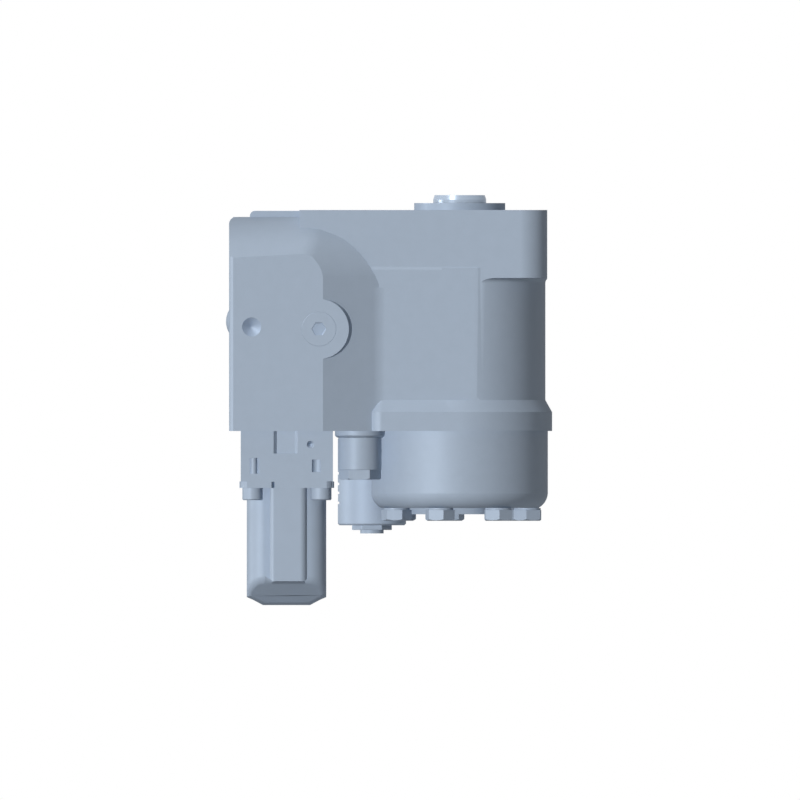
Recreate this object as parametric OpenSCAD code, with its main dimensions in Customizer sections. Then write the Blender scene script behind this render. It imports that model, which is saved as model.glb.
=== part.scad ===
// Steering valve: an orbital steering unit with an electro-hydraulic valve block beside it.
// Millimetres. Origin: middle of the mounting face on the steering axis.
// Z points up to the steering column, X to the right, Y to the rear.

/* [View] */
// Piece to build, or all of them

/* [Housing casting] */
// Height of the casting from the mounting face to the gear set
body_h = 108.3; // [100:0.1:118]
// Radius of the round barrel round the rotary valve
barrel_r = 42; // [41:0.1:43]
// Distance of the machined front flat from the axis
main_front = 41.1; // [40.9:0.1:42]
// Distance of the mounting flange front from the axis
flange_front = 40.7; // [39:0.1:40.8]
// Distance of the mounting flange right side from the axis
flange_right = 42.9; // [41:0.1:46]
// Thickness of the mounting flange
flange_t = 33.3; // [28:0.1:38]
// Corner radius of the mounting flange
flange_corner_r = 13; // [8:0.5:16]
// Radius of the hollow curve under the flange
flange_fillet_r = 2.4; // [2:0.1:5]
// Radius of the foot above the gear set
foot_r = 45.3; // [44:0.1:48]
// Height of the foot's upright wall
foot_h = 9.3; // [7:0.1:12]
// Height of the slope above the foot
foot_slope_h = 5.9; // [4:0.1:8]
// Distance of the foot's front flat from the axis
foot_front = 45.2; // [44:0.1:46]
// Radius of the centring spigot on the mounting face
spigot_r = 22.3; // [20:0.1:24]
// Height of the centring spigot
spigot_h = 3.4; // [2:0.1:5]
// Side of the square pattern of column bolts
column_pitch = 58.37; // [56:0.01:60]
// Radius of each column bolt hole
column_hole_r = 5; // [4:0.1:5.4]
// Depth of each column bolt hole
column_hole_depth = 16; // [12:0.5:20]

/* [Valve block] */
// Distance of the block's left face from the axis
block_left = 113; // [110:0.5:118]
// Distance of the block's front face from the axis
block_front = 51.9; // [50:0.1:54]
// Distance of the right end of the front face from the axis
block_edge = 67; // [66:0.1:68]
// Angle of the sloping wall beside the front face
wall_angle = 21.5; // [18:0.5:24]
// Drop of the block's top below the mounting face
block_drop = 3.4; // [2:0.1:5]
// Radius of the rounded hood over the front face
hood_r = 41; // [38:0.5:44]
// Drop of the hood's lower edge below the mounting face
hood_drop = 21; // [20:0.1:23]
// Sideways tilt of the hood
hood_tilt = 3; // [0:0.5:5]
// Radius of the rounded hood over the sloping wall
wall_hood_r = 33; // [30:0.5:35]
// Drop of the lower edge of the hood over the sloping wall
wall_hood_drop = 33; // [31:0.1:36]
// Radius of the block's rounded shoulder seen from the front
shoulder_r = 50; // [48:0.5:52]
// Distance of the shoulder's centre left of the axis
shoulder_x = 86; // [85:0.1:88]
// Drop of the shoulder's centre below the mounting face
shoulder_drop = 55; // [54:0.1:58]
// Distance of the port face from the axis
rear_face = 62; // [61:0.5:66]
// Radius of the plug boss at the front face
plug_boss_r = 14.7; // [13:0.1:16]
// Widening of the plug boss towards its foot
plug_boss_flare = 2.2; // [0:0.1:3]
// Distance of the plug boss left of the axis
plug_x = 69; // [68:0.1:70]
// Drop of the plug boss below the mounting face
plug_drop = 58.3; // [56:0.1:60]

/* [Ports] */
// Thread radius of the four main ports
port_r = 10.45; // [9:0.05:11]
// Thread depth of the four main ports
port_depth = 15; // [13:0.5:17]
// Radius of the spot face round each main port
port_face_r = 13.3; // [12.5:0.1:13.5]
// Half the sideways distance between the main ports
port_half_x = 14; // [13.9:0.1:16]
// Drop of the upper main ports
port_upper_drop = 30; // [26:0.5:34]
// Drop of the lower main ports
port_lower_drop = 72; // [66:0.5:76]
// Thread radius of the load sensing port
sense_port_r = 6.55; // [5:0.05:7]
// Thread depth of the load sensing port
sense_port_depth = 15; // [12:0.5:17]

/* [Rotary valve] */
// Radius of the turning sleeve
sleeve_r = 17; // [16.5:0.1:17.4]
// Radius of the turning spool
spool_r = 13; // [12.6:0.1:13.2]
// Running clearance of the sleeve and the spool
run_gap = 0.04; // [0.02:0.01:0.08]
// Height of the spool above the mounting face
spool_up = 7.3; // [6:0.1:9]
// Radius of the bevelled spool end
spool_tip_r = 12.3; // [11.8:0.1:12.5]
// Radius of the bore inside the spool
spool_bore_r = 10.3; // [10:0.1:10.6]
// Root radius of the steering column spline
spline_r = 8.25; // [8:0.05:8.6]
// Tip radius of the steering column spline
spline_tip_r = 7.3; // [7:0.05:7.6]
// Depth of the steering column spline
spline_depth = 22; // [18:0.5:23]
// Radius of the cross pin
pin_r = 4; // [3.6:0.1:4.2]
// Drop of the cross pin below the mounting face
pin_drop = 62; // [60:0.5:66]
// Angle the spool may turn in the sleeve each way
spool_turn = 10; // [8:0.5:11]

/* [Gear set] */
// Outer radius of the gear set
gear_r = 43.2; // [42.5:0.1:44]
// Thickness of the distributor plate
plate_t = 8.1; // [7:0.1:10]
// Thickness of the gear ring
ring_t = 20.8; // [18:0.1:26]
// Thickness of the end cover
cover_t = 8.8; // [8:0.1:10]
// Corner radius of the end cover
cover_round_r = 8.5; // [7.8:0.1:9]
// Radius of the raised middle of the end cover
cover_boss_r = 25.5; // [22:0.1:25.7]
// Height of the raised middle of the end cover
cover_boss_h = 3.1; // [2:0.1:4]
// Distance between the axes of the ring and the star
eccentricity = 3; // [2.8:0.05:3.1]
// Distance of the ring's lobes from the axis
lobe_pitch_r = 26.2; // [26:0.1:26.3]
// Radius of each lobe
lobe_r = 4.9; // [4.7:0.05:5]
// Radius of the hollows between the lobes
ring_cavity_r = 27.6; // [27.4:0.05:27.8]
// Clearance between the star and the lobes
mesh_gap = 0.08; // [0.05:0.01:0.1]
// Distance of the cover screws from the axis
screw_circle_r = 33.3; // [33:0.1:34]
// Angle of the first cover screw
screw_phase = -4; // [-6:0.5:-2]
// Radius of the cover screws
screw_r = 4; // [3.8:0.1:4]
// Width of the cover screw heads across the flats
screw_af = 13; // [12:0.5:13]
// Height of the cover screw heads
screw_head_h = 5.3; // [5:0.1:6]

/* [Electric valve] */
// Radius of the control spool
control_r = 8; // [7.5:0.1:8.3]
// Distance of the control spool left of the steering axis
control_x = 90.7; // [90:0.1:91]
// Distance of the control spool in front of the steering axis
control_y = 15; // [14:0.5:16]
// Travel of the control spool each way
control_travel = 5; // [4:0.5:6]
// Height of the pilot block
pilot_h = 27.9; // [26:0.1:30]
// Height of the electronics housing
unit_h = 57.4; // [54:0.1:62]
// Corner radius of the electronics housing
unit_corner_r = 8.8; // [6:0.1:9]
// Wall thickness of the electronics housing
unit_wall = 2.5; // [2:0.1:3]
// Radius of the pilot block screws
pilot_screw_r = 3; // [2.6:0.1:3]
// Radius of the pilot block screw heads
pilot_head_r = 5; // [4.6:0.1:5]
// Height of the pilot block screw heads
pilot_head_h = 6; // [5:0.1:6.2]

/* [Solenoid and cartridge] */
// Distance of the solenoid left of the steering axis
coil_x = 43; // [42.5:0.1:44]
// Distance of the solenoid behind the steering axis
coil_y = 43; // [42.5:0.1:44]
// Radius of the coil
coil_r = 16.7; // [15:0.1:17]
// Height of the coil
coil_h = 42.3; // [40:0.1:45]
// Radius of the solenoid tube
tube_r = 5.75; // [5.5:0.05:5.9]
// Width of the coil nut across the flats
nut_af = 17; // [16:0.5:18]
// Distance of the cartridge left of the steering axis
cartridge_x = 48.9; // [48.5:0.1:50]
// Distance of the cartridge in front of the steering axis
cartridge_y = 30; // [29.5:0.1:31]
// Radius of the cartridge body
cartridge_r = 10.6; // [10:0.1:11]
// Radius of the cartridge flange
cartridge_flange_r = 12.25; // [11.5:0.05:12.6]
// Width of the cartridge hexagon across the flats
cartridge_af = 18; // [17:0.5:19]

/* [Hidden] */
$fn = 64;
eps = 0.01;
cast_c = [0.62, 0.67, 0.73];
steel_c = [0.60, 0.65, 0.71];
dark_c = [0.25, 0.27, 0.30];
seal_c = [0.18, 0.19, 0.20];
plastic_c = [0.58, 0.63, 0.69];
copper_c = [0.72, 0.50, 0.34];
board_c = [0.20, 0.38, 0.28];

// Levels from the mounting face down
z_body = -body_h;
z_plate = z_body - plate_t;
z_ring = z_plate - ring_t;
z_cover = z_ring - cover_t;
washer_t = 1;
z_head = z_cover - washer_t;
z_pin = -pin_drop;
z_foot_top = z_body + foot_h;
z_pilot = z_body - pilot_h;
z_unit = z_pilot - unit_h;
// Floor of the electronics housing's inside, and the board's clearance above it
unit_floor = 12.6;
board_gap = 0.8;
board_h = unit_h - unit_floor - board_gap;
bore_r = sleeve_r + run_gap;
sleeve_bore_r = spool_r + run_gap;
neck_r = spool_r + 0.08;
shoulder_z = -9.2;
race_t = 0.8;
needle_t = 2.4;
race_gap = 0.02;
sleeve_top = shoulder_z - 2 * race_t - needle_t - 2 * race_gap;
sleeve_bottom = z_body + 0.1;
spool_bottom = z_body + 4;
slot_z = -24;
lobe_phase = screw_phase + 180 / 7;
star_x = -eccentricity * cos(lobe_phase);
star_y = -eccentricity * sin(lobe_phase);
star_drop = pin_drop - body_h - plate_t - ring_t / 2;
cardan_tilt = atan(eccentricity / -star_drop);
wall_foot = block_edge - (block_front - main_front) / tan(wall_angle);
control_bore_r = control_r + run_gap;
plug_depth = 12;
top_plug_r = 10;
top_plug_h = 12;
unit_left = 104.3;
unit_right = 65.4;
unit_front = 34.5;
unit_rear = -9.4;
pilot_left = 107.3;
pilot_right = 62.1;
pilot_front = 47;
pilot_rear = -22;
screw_left = 101.5;
screw_right = 67.8;
screw_front = 40.6;
screw_rear = -15.6;
z_control_top = -33;
z_control_bottom = -88;
z_tube_end = z_body - 50.2;
z_coil = z_body - 3.9;

// Solid cylinder between two levels
module rod(r, z0, z1) {
  translate([0, 0, z0]) cylinder(r=r, h=z1 - z0);
}

// Cone between two levels, with its radius at each
module taper(r0, r1, z0, z1) {
  translate([0, 0, z0]) cylinder(r1=r0, r2=r1, h=z1 - z0);
}

// Ring between two levels
module tube(r, inner, z0, z1) {
  difference() {
    rod(r, z0, z1);
    rod(inner, z0 - 1, z1 + 1);
  }
}

// Round bar along Y between two depths
module bar_y(x, z, r, y0, y1) {
  translate([x, y1, z]) rotate([90, 0, 0]) cylinder(r=r, h=y1 - y0);
}

// Round bar along X
module bar_x(y, z, r, x0, x1) {
  translate([x0, y, z]) rotate([0, 90, 0]) cylinder(r=r, h=x1 - x0);
}

// Six-sided bar between two levels
module hexagon(af, z0, z1) {
  translate([0, 0, z0]) cylinder(r=af / sqrt(3), h=z1 - z0, $fn=6);
}

// Doughnut ring
module torus(r, wire, z) {
  translate([0, 0, z]) rotate_extrude() translate([r, 0]) circle(wire);
}

// Coil spring standing on z0, made of half turns that join end to end
module coil_spring(r, wire, z0, h, halves) {
  rise = floor(h / halves * 100) / 100;
  lean = atan(rise / (2 * r));
  reach = sqrt(r * r + rise * rise / 4);
  for (i = [0 : halves - 1]) {
    translate([0, 0, z0 + (i + 0.5) * rise])
      rotate([0, (i % 2 == 0) ? lean : -lean, 0])
        rotate_extrude(angle=180, start=(i % 2 == 0) ? 0 : 180)
          translate([reach, 0]) circle(wire, $fn=16);
  }
}

// Places a child at each cover screw
module at_screws() {
  for (k = [0 : 6])
    rotate([0, 0, screw_phase + k * 360 / 7]) translate([screw_circle_r, 0, 0]) children();
}

// Rounded plan of a box, by its two corners
module round_plan(x0, y0, x1, y1, r) {
  translate([x0 + r, y0]) square([x1 - x0 - 2 * r, y1 - y0]);
  translate([x0, y0 + r]) square([x1 - x0, y1 - y0 - 2 * r]);
  for (x = [x0 + r, x1 - r], y = [y0 + r, y1 - r]) translate([x, y]) circle(r);
}

// Section of a hood over the valve block, front face at zero
module hood_section(r, drop, crease) {
  cy = r * cos(crease);
  cz = -drop - r * sin(crease);
  intersection() {
    translate([cy, cz]) circle(r);
    translate([0, -drop - 0.5]) square([cy + 30, drop + 5.5]);
  }
  translate([0, -body_h - 20]) square([cy + 60, body_h + 19.7 - drop]);
  translate([cy, -body_h - 20]) square([70, body_h + 20 + cz + r]);
}

// Hood section drawn out along X over the valve block
module hood_bar(r, drop, crease) {
  translate([-90, 0, 0]) rotate([90, 0, 90]) linear_extrude(180) hood_section(r, drop, crease);
}

// Outline of the valve block seen from the front
module block_outline() {
  corner = 3.4;
  step = 78.7;
  translate([-block_left, z_body]) square([block_left - step, body_h - block_drop - corner]);
  translate([-block_left + corner, z_body]) square([block_left - step - corner, body_h - block_drop]);
  translate([-block_left + corner, -block_drop - corner]) circle(corner);
  intersection() {
    translate([-shoulder_x, -shoulder_drop]) circle(shoulder_r);
    translate([-step - 10, z_body]) square([step - 10, body_h]);
  }
  translate([-step - 5, z_body]) square([step - 15, body_h - shoulder_drop - 5]);
}

// Valve block with the rounded hoods, the front face and the sloping wall
module block_shape() {
  intersection() {
    translate([0, 40, 0]) rotate([90, 0, 0]) linear_extrude(40 + block_front) block_outline();
    translate([0, 0, z_body]) linear_extrude(body_h)
      polygon([[-20, 30], [-block_left, 30], [-block_left, -block_front + 2],
        [-block_left + 0.6, -block_front + 0.6], [-block_left + 2, -block_front], [-20, -block_front]]);
    translate([-block_edge, -block_front, 0]) intersection() {
      rotate([0, -hood_tilt, 0]) hood_bar(hood_r, hood_drop, 30);
      rotate([0, 0, wall_angle]) hood_bar(wall_hood_r, wall_hood_drop, 2);
      rotate([0, 0, wall_angle / 2]) hood_bar(wall_hood_r - 6, wall_hood_drop - 4, 3);
    }
  }
}

// Curve that leads from the sloping wall to the front flat
module wall_fillet() {
  r = 16;
  reach = r * tan(wall_angle / 2);
  translate([0, 0, z_body]) linear_extrude(body_h - 38) difference() {
    polygon([[-wall_foot + reach, -main_front], [-wall_foot, -main_front + 2],
      [-wall_foot - reach * cos(wall_angle), -main_front - reach * sin(wall_angle)]]);
    translate([-wall_foot + reach, -main_front - r]) circle(r);
  }
}

// Foot above the gear set
module foot_shape() {
  rise = foot_front - main_front;
  rod(foot_r, z_body, z_foot_top);
  taper(foot_r, barrel_r, z_foot_top, z_foot_top + foot_slope_h);
  translate([-38, 0, 0]) rotate([90, 0, 90]) linear_extrude(41)
    polygon([[0, z_body], [-foot_front, z_body], [-foot_front, z_foot_top],
      [-main_front, z_foot_top + foot_slope_h], [0, z_foot_top + foot_slope_h]]);
  translate([-38, -foot_front + 6, 0]) {
    rod(6, z_body, z_foot_top);
    taper(6, 6 - rise, z_foot_top, z_foot_top + foot_slope_h);
  }
}

// Plan of the mounting flange
module flange_plan() {
  left = -78.5;
  back = -rear_face + 4;
  translate([left, -flange_front])
    square([flange_right - flange_corner_r - left, flange_front - back - 16]);
  translate([left, -flange_front + flange_corner_r])
    square([flange_right - left, flange_front - flange_corner_r - back - 16]);
  translate([flange_right - flange_corner_r, -flange_front + flange_corner_r])
    circle(flange_corner_r);
}

// Outside of the casting
module casting() {
  translate([0, 0, -flange_t]) linear_extrude(flange_t) flange_plan();
  intersection() {
    rod(barrel_r, z_foot_top, -flange_t + 5);
    translate([-60, -main_front, z_body]) cube([120, 120, body_h]);
  }
  intersection() {
    translate([0, 0, -flange_t]) rotate_extrude() difference() {
      translate([barrel_r - 3, -flange_fillet_r])
        square([flange_fillet_r + 3, flange_fillet_r + 1]);
      translate([barrel_r + flange_fillet_r, -flange_fillet_r]) circle(flange_fillet_r);
    }
    translate([0, 0, -flange_t - 20]) linear_extrude(40) flange_plan();
    translate([5, -60, -60]) cube([60, 70, 60]);
  }
  translate([-80, 0, 0]) rotate([90, 0, 90])
    linear_extrude(80 + sqrt(barrel_r * barrel_r - main_front * main_front) - 0.1)
      polygon([[0, z_body], [-main_front, z_body], [-main_front, -29.4],
        [-flange_front + 0.1, -27.2], [0, -27.2]]);
  foot_shape();
  block_shape();
  wall_fillet();
  translate([0, 0, z_body]) linear_extrude(body_h - block_drop)
    round_plan(-block_left + 2, -5, 38, rear_face, 6);
  rod(spigot_r, -1, spigot_h);
  translate([0, 34, 0]) rotate([90, 0, 0]) linear_extrude(60) {
    translate([-102.8, -6]) square([26, 3.1]);
    translate([-100.3, -6]) square([23.5, 5.6]);
    translate([-100.3, -2.9]) circle(2.5);
  }
  translate([-plug_x, -block_front, -plug_drop]) rotate([-90, 0, 0]) {
    cylinder(r1=plug_boss_r, r2=plug_boss_r + plug_boss_flare, h=8);
    translate([0, 0, 7.9]) cylinder(r=plug_boss_r + plug_boss_flare - 0.1, h=9);
  }
}

// Drilled and bored hollows of the casting
module casting_holes() {
  rod(bore_r, z_body - 1, shoulder_z);
  rod(neck_r, shoulder_z - 1, spigot_h + 1);
  rod(16, -7.6, -3.8);
  rod(16.5, -1.6, spigot_h + 1);
  for (x = [-1, 1], y = [-1, 1])
    translate([x * column_pitch / 2, y * column_pitch / 2, 0])
      rod(column_hole_r, -column_hole_depth, 1);
  at_screws() rod(screw_r + 0.02, z_body - 1, z_body + 15);
  for (k = [0 : 6])
    rotate([0, 0, lobe_phase + k * 360 / 7]) {
      translate([21, 0, 0]) rod(1.9, z_body - 1, z_body + 20);
      bar_x(0, z_body + 17, 1.9, 15, 21);
    }
  rotate([0, 0, screw_phase + 360 / 7]) translate([screw_circle_r, 0, 0]) {
    rod(4.35, z_body + 14, z_body + 36);
    rod(2.5, z_body + 35, z_body + 50);
  }
  for (x = [-1, 1], drop = [port_upper_drop, port_lower_drop]) {
    bar_y(x * port_half_x, -drop, port_r, rear_face - port_depth, rear_face + 1);
    bar_y(x * port_half_x, -drop, port_face_r, rear_face - 0.6, rear_face + 1);
    bar_y(x * 11, -drop, 3.5, 10, rear_face - port_depth + 1);
  }
  bar_y(-58, -40, sense_port_r, rear_face - sense_port_depth, rear_face + 1);
  bar_y(-58, -40, 2, 20, rear_face - sense_port_depth + 1);
  translate([-control_x, -control_y, 0]) {
    rod(control_bore_r, z_body + 12, -10);
    rod(top_plug_r + 0.02, -block_drop - top_plug_h, 1);
    rod(12.02, z_body - 1, z_body + 12.02);
    for (z = [-46, -58.3, -70.6]) tube(control_bore_r + 2.2, control_bore_r - 1, z - 2.5, z + 2.5);
  }
  for (z = [-46, -58.3, -70.6]) bar_x(-10, z, 2.4, -control_x + 5, -13);
  bar_y(-plug_x, -plug_drop, 8.47, -block_front - 1, -block_front + plug_depth + 0.1);
  bar_y(-plug_x, -plug_drop, 6.03, -block_front + plug_depth, -16);
  bar_y(-plug_x, -plug_drop, 2, -17, -9);
  bar_y(-102, -57.3, 4.65, -block_front - 1, -block_front + 6);
  translate([-102, -block_front + 6, -57.3]) rotate([-90, 0, 0]) cylinder(r1=4.65, r2=0.4, h=2.5);
  bar_x(-control_y, -54.6, 5.02, -block_left - 1, -control_x - 6);
  translate([-cartridge_x, -cartridge_y, 0]) {
    rod(8.52, z_body - 1, z_body + 30);
    rod(2.5, z_body + 29, -69);
  }
  bar_y(-cartridge_x, -70.6, 2, -cartridge_y - 0.5, -9);
  translate([-coil_x, coil_y, 0]) {
    rod(9.02, z_body - 1, z_body + 34);
    rod(2.5, z_body + 33, -57);
  }
  bar_y(-coil_x, -58.3, 2, -9, coil_y);
  for (x = [-screw_left, -screw_right], y = [-screw_front, -screw_rear])
    translate([x, y, 0]) rod(pilot_screw_r + 0.02, z_body - 1, z_body + 10);
}

module body() {
  color(cast_c) difference() {
    casting();
    casting_holes();
  }
}

module dust_seal() {
  color(seal_c) rotate_extrude()
    polygon([[spool_r + 0.06, spigot_h - 1], [spool_r + 1.6, spigot_h - 0.2],
      [15.4, spigot_h - 0.2], [15.4, 0.4], [16.45, 0.4], [16.45, -1.55],
      [spool_r + 0.6, -1.55], [spool_r + 0.6, 0.6], [spool_r + 0.06, 1.4]]);
}

module shaft_seal() {
  color(seal_c) tube(15.95, spool_r + 0.06, -7.5, -3.9);
}

module bearing_race_upper() {
  color(steel_c) tube(16.9, spool_r + 0.4, shoulder_z - race_t, shoulder_z);
}

module needle_cage() {
  top = shoulder_z - race_t - race_gap;
  color(dark_c) {
    tube(14.2, spool_r + 0.5, top - needle_t + 0.3, top - 0.3);
    tube(16.85, 16.2, top - needle_t + 0.3, top - 0.3);
    for (k = [0 : 23])
      rotate([0, 0, k * 15]) bar_x(0, top - needle_t / 2, needle_t / 2, 14, 16.4);
  }
}

module bearing_race_lower() {
  color(steel_c) tube(16.9, spool_r + 0.4, sleeve_top, sleeve_top + race_t);
}

// Outline of the spool from its axis
module spool_profile() {
  polygon([[spool_bore_r, spool_bottom], [spool_r, spool_bottom], [spool_r, spool_up - 2.2],
    [spool_tip_r, spool_up], [spline_r, spool_up], [spline_r, spool_up - spline_depth],
    [spool_bore_r, spool_up - spline_depth - 2.5]]);
}

module spool() {
  color(steel_c) difference() {
    union() {
      rotate_extrude() spool_profile();
      for (k = [0 : 11])
        rotate([0, 0, k * 30])
          translate([spline_tip_r, -0.9, spool_up - spline_depth + 0.5])
            cube([spline_r - spline_tip_r + 0.4, 1.8, spline_depth - 1.5]);
    }
    // Windows that let the cross pin and the leaf springs swing
    for (a = [0, 180]) rotate([0, 0, a])
      translate([5, -pin_r - sin(spool_turn) * spool_r - 0.4, z_pin - pin_r - 0.2])
        cube([15, 2 * (pin_r + sin(spool_turn) * spool_r + 0.4), 2 * pin_r + 0.4]);
    rotate([0, 0, 90]) translate([-20, -4.6, slot_z - 3.4]) cube([40, 9.2, 6.8]);
    for (z = [-38, -46, -78, -88]) tube(spool_r + 1, spool_r - 1, z - 1.6, z + 1.6);
    for (k = [0 : 5]) rotate([0, 0, 30 + k * 60]) bar_x(0, -84, 1.6, 8, 15);
  }
}

module sleeve() {
  color(steel_c) difference() {
    rod(sleeve_r, sleeve_bottom, sleeve_top);
    rod(sleeve_bore_r, sleeve_bottom - 1, sleeve_top + 1);
    bar_x(0, z_pin, pin_r + 0.01, -20, 20);
    rotate([0, 0, 90]) translate([-20, -2.02, slot_z - 3.02]) cube([40, 4.04, 6.04]);
    for (z = [-34, -50, -70.6, -94]) tube(sleeve_r + 1, sleeve_r - 1.2, z - 2, z + 2);
    for (k = [0 : 5]) rotate([0, 0, k * 60 + 30]) {
      bar_x(0, -34, 1.5, 11, 19);
      bar_x(0, -50, 1.5, 11, 19);
      bar_x(0, -94, 1.5, 11, 19);
    }
  }
}

module cross_pin() {
  half = sqrt(sleeve_r * sleeve_r - pin_r * pin_r) - 0.2;
  color(steel_c) bar_x(0, z_pin, pin_r, -half, half);
}

module centring_springs() {
  color(dark_c) rotate([0, 0, 90]) {
    for (y = [-1.25, -0.45, 0.35]) translate([-16.2, y, slot_z - 3]) cube([32.4, 0.82, 6]);
    translate([-16.2, -2, slot_z - 3]) cube([6, 4, 6]);
    translate([10.2, -2, slot_z - 3]) cube([6, 4, 6]);
  }
}

// Turns a child onto the leaning axis of the cardan shaft
module on_cardan_axis() {
  translate([0, 0, z_pin]) rotate([0, 0, lobe_phase]) rotate([0, cardan_tilt, 0]) children();
}

module cardan_shaft() {
  low = -(body_h + plate_t + ring_t - pin_drop) + 3.9;
  teeth_top = -(body_h + plate_t - pin_drop) - 0.8;
  color(steel_c) on_cardan_axis() difference() {
    union() {
      rod(9, -6.5, 7.5);
      taper(6.2, 9, -10, -6.5);
      rod(6.2, teeth_top + 1, -10);
      taper(7.7, 6.2, teeth_top, teeth_top + 1.5);
      rod(7.7, low, teeth_top);
      for (k = [0 : 11]) rotate([0, 0, k * 30 + 15])
        translate([5, -0.8, low + 3]) cube([3.8, 1.6, teeth_top - low - 3]);
    }
    rotate([0, 0, -lobe_phase]) translate([-15, -pin_r - 0.35, -pin_r - 0.6])
      cube([30, 2 * pin_r + 0.7, 20]);
  }
}

module spacer_disc() {
  color(steel_c) rod(6, z_ring - 1.55, z_ring + 3);
}

module distributor_plate() {
  color(steel_c) difference() {
    rod(gear_r, z_plate, z_body);
    rod(10.5, z_plate - 1, z_body + 1);
    at_screws() rod(screw_r + 0.3, z_plate - 1, z_body + 1);
    for (k = [0 : 6]) rotate([0, 0, lobe_phase + k * 360 / 7]) translate([21, 0, 0])
      rod(1.9, z_plate - 1, z_body + 1);
    tube(41.2, 39.2, z_plate - 1, z_plate + 1.6);
  }
}

module gear_ring() {
  color(steel_c) difference() {
    translate([0, 0, z_ring]) linear_extrude(ring_t) {
      difference() {
        circle(gear_r);
        circle(ring_cavity_r);
        for (k = [0 : 6]) rotate(screw_phase + k * 360 / 7)
          translate([screw_circle_r, 0]) circle(screw_r + 0.3);
      }
      for (k = [0 : 6]) rotate(lobe_phase + k * 360 / 7) translate([lobe_pitch_r, 0]) circle(lobe_r);
    }
    tube(41.2, 39.2, z_ring - 1, z_ring + 1.6);
  }
}

// Point of the star's edge for a position along its path
function star_point(t) =
  let (px = lobe_pitch_r * cos(t) + eccentricity * cos(7 * t),
    py = lobe_pitch_r * sin(t) + eccentricity * sin(7 * t),
    tx = -lobe_pitch_r * sin(t) - 7 * eccentricity * sin(7 * t),
    ty = lobe_pitch_r * cos(t) + 7 * eccentricity * cos(7 * t),
    len = sqrt(tx * tx + ty * ty),
    off = lobe_r + mesh_gap)
  [px - off * ty / len, py + off * tx / len];

module gear_star() {
  // The steps crowd together in the hollows, where the edge turns fastest
  steps = 144;
  color(steel_c) translate([star_x, star_y, 0]) rotate([0, 0, lobe_phase]) difference() {
    translate([0, 0, z_ring + 0.03]) linear_extrude(ring_t - 0.06)
      polygon([for (i = [0 : steps - 1])
        let (s = i * 360 / steps) star_point(s + 0.9 * sin(6 * s) * 30 / PI)]);
    difference() {
      rod(9.4, z_ring - 1, z_plate + 1);
      for (k = [0 : 11]) rotate([0, 0, k * 30])
        translate([8.3, -0.8, z_ring + 5]) cube([3, 1.6, ring_t]);
    }
    rod(9.6, z_ring - 1, z_ring + 5);
  }
}

module end_cover() {
  flat_r = gear_r - cover_round_r;
  color(steel_c) difference() {
    union() {
      rod(gear_r, z_cover, z_ring);
      taper(cover_boss_r - 0.8, cover_boss_r, z_cover - cover_boss_h, z_cover + 1);
    }
    rotate_extrude() difference() {
      translate([flat_r, z_cover - 0.2]) square([cover_round_r + 1, cover_t - 1.5]);
      translate([flat_r, z_ring - 1.2]) circle(cover_round_r);
    }
    rod(6.05, z_ring - 1.6, z_ring + 1);
    at_screws() rod(screw_r + 0.3, z_cover - 1, z_ring + 1);
  }
}

module cover_seals() {
  color(seal_c) for (z = [z_plate, z_ring]) torus(40.2, 0.78, z + 0.8);
}

module cover_screws() {
  color(steel_c) at_screws() {
    rotate([0, 0, 30]) hexagon(screw_af, z_head - screw_head_h, z_head);
    rod(screw_r, z_head - 0.5, z_body + 12);
  }
}

module screw_washers() {
  color(steel_c) at_screws() tube(6.5, screw_r + 0.2, z_head, z_cover);
}

module check_ball() {
  color(steel_c) rotate([0, 0, screw_phase + 360 / 7]) translate([screw_circle_r, 0, z_body + 16.3])
    sphere(4.25);
}

module check_bushing() {
  color(steel_c) rotate([0, 0, screw_phase + 360 / 7]) translate([screw_circle_r, 0, 0])
    difference() {
      rod(4.33, z_body + 24.8, z_body + 35.9);
      rod(1.8, z_body + 24, z_body + 37);
    }
}

module relief_plug() {
  front = -block_front;
  color(steel_c) difference() {
    union() {
      bar_y(-plug_x, -plug_drop, 8.45, front, front + plug_depth);
      bar_y(-plug_x, -plug_drop, 3, front + plug_depth - 1, front + plug_depth + 4);
    }
    translate([-plug_x, front + 5, -plug_drop]) rotate([90, 0, 0])
      cylinder(r=6 / sqrt(3), h=10, $fn=6);
  }
}

module relief_seat() {
  color(steel_c) difference() {
    bar_y(-plug_x, -plug_drop, 6, -20.5, -16.05);
    bar_y(-plug_x, -plug_drop, 2.5, -21.5, -15);
  }
}

module relief_poppet() {
  color(steel_c) {
    bar_y(-plug_x, -plug_drop, 5.97, -30, -23.4);
    translate([-plug_x, -23.4, -plug_drop]) rotate([-90, 0, 0]) cylinder(r1=4, r2=2.2, h=3.4);
    bar_y(-plug_x, -plug_drop, 2.8, -31.5, -29);
  }
}

module relief_spring() {
  color(dark_c) translate([-plug_x, 0, -plug_drop]) rotate([90, 0, 0])
    coil_spring(4.3, 0.7, 30.72, block_front - plug_depth - 31.44, 8);
}

module side_plug() {
  color(steel_c) {
    bar_x(-control_y, -54.6, 5, -block_left, -block_left + 7);
    intersection() {
      translate([-block_left + 9.85, -control_y, -54.6]) sphere(11.35);
      bar_x(-control_y, -54.6, 5.5, -block_left - 5, -block_left);
    }
  }
}

module top_plug() {
  color(steel_c) translate([-control_x, -control_y, 0]) difference() {
    rod(top_plug_r, -block_drop - top_plug_h + 0.05, -1);
    translate([0, 0, -8]) cylinder(r=10 / sqrt(3), h=10, $fn=6);
  }
}

module control_spool() {
  color(steel_c) translate([-control_x, -control_y, 0]) difference() {
    union() {
      rod(control_r, z_control_bottom, z_control_top);
      rod(3, z_control_top - 1, -block_drop - top_plug_h - control_travel - 6.6);
    }
    for (z = [-46, -58.3, -70.6]) tube(control_r + 1, control_r - 2.5, z - 3.4, z + 3.4);
    rod(2.02, z_control_bottom - 1, z_control_bottom + 10);
  }
}

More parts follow.
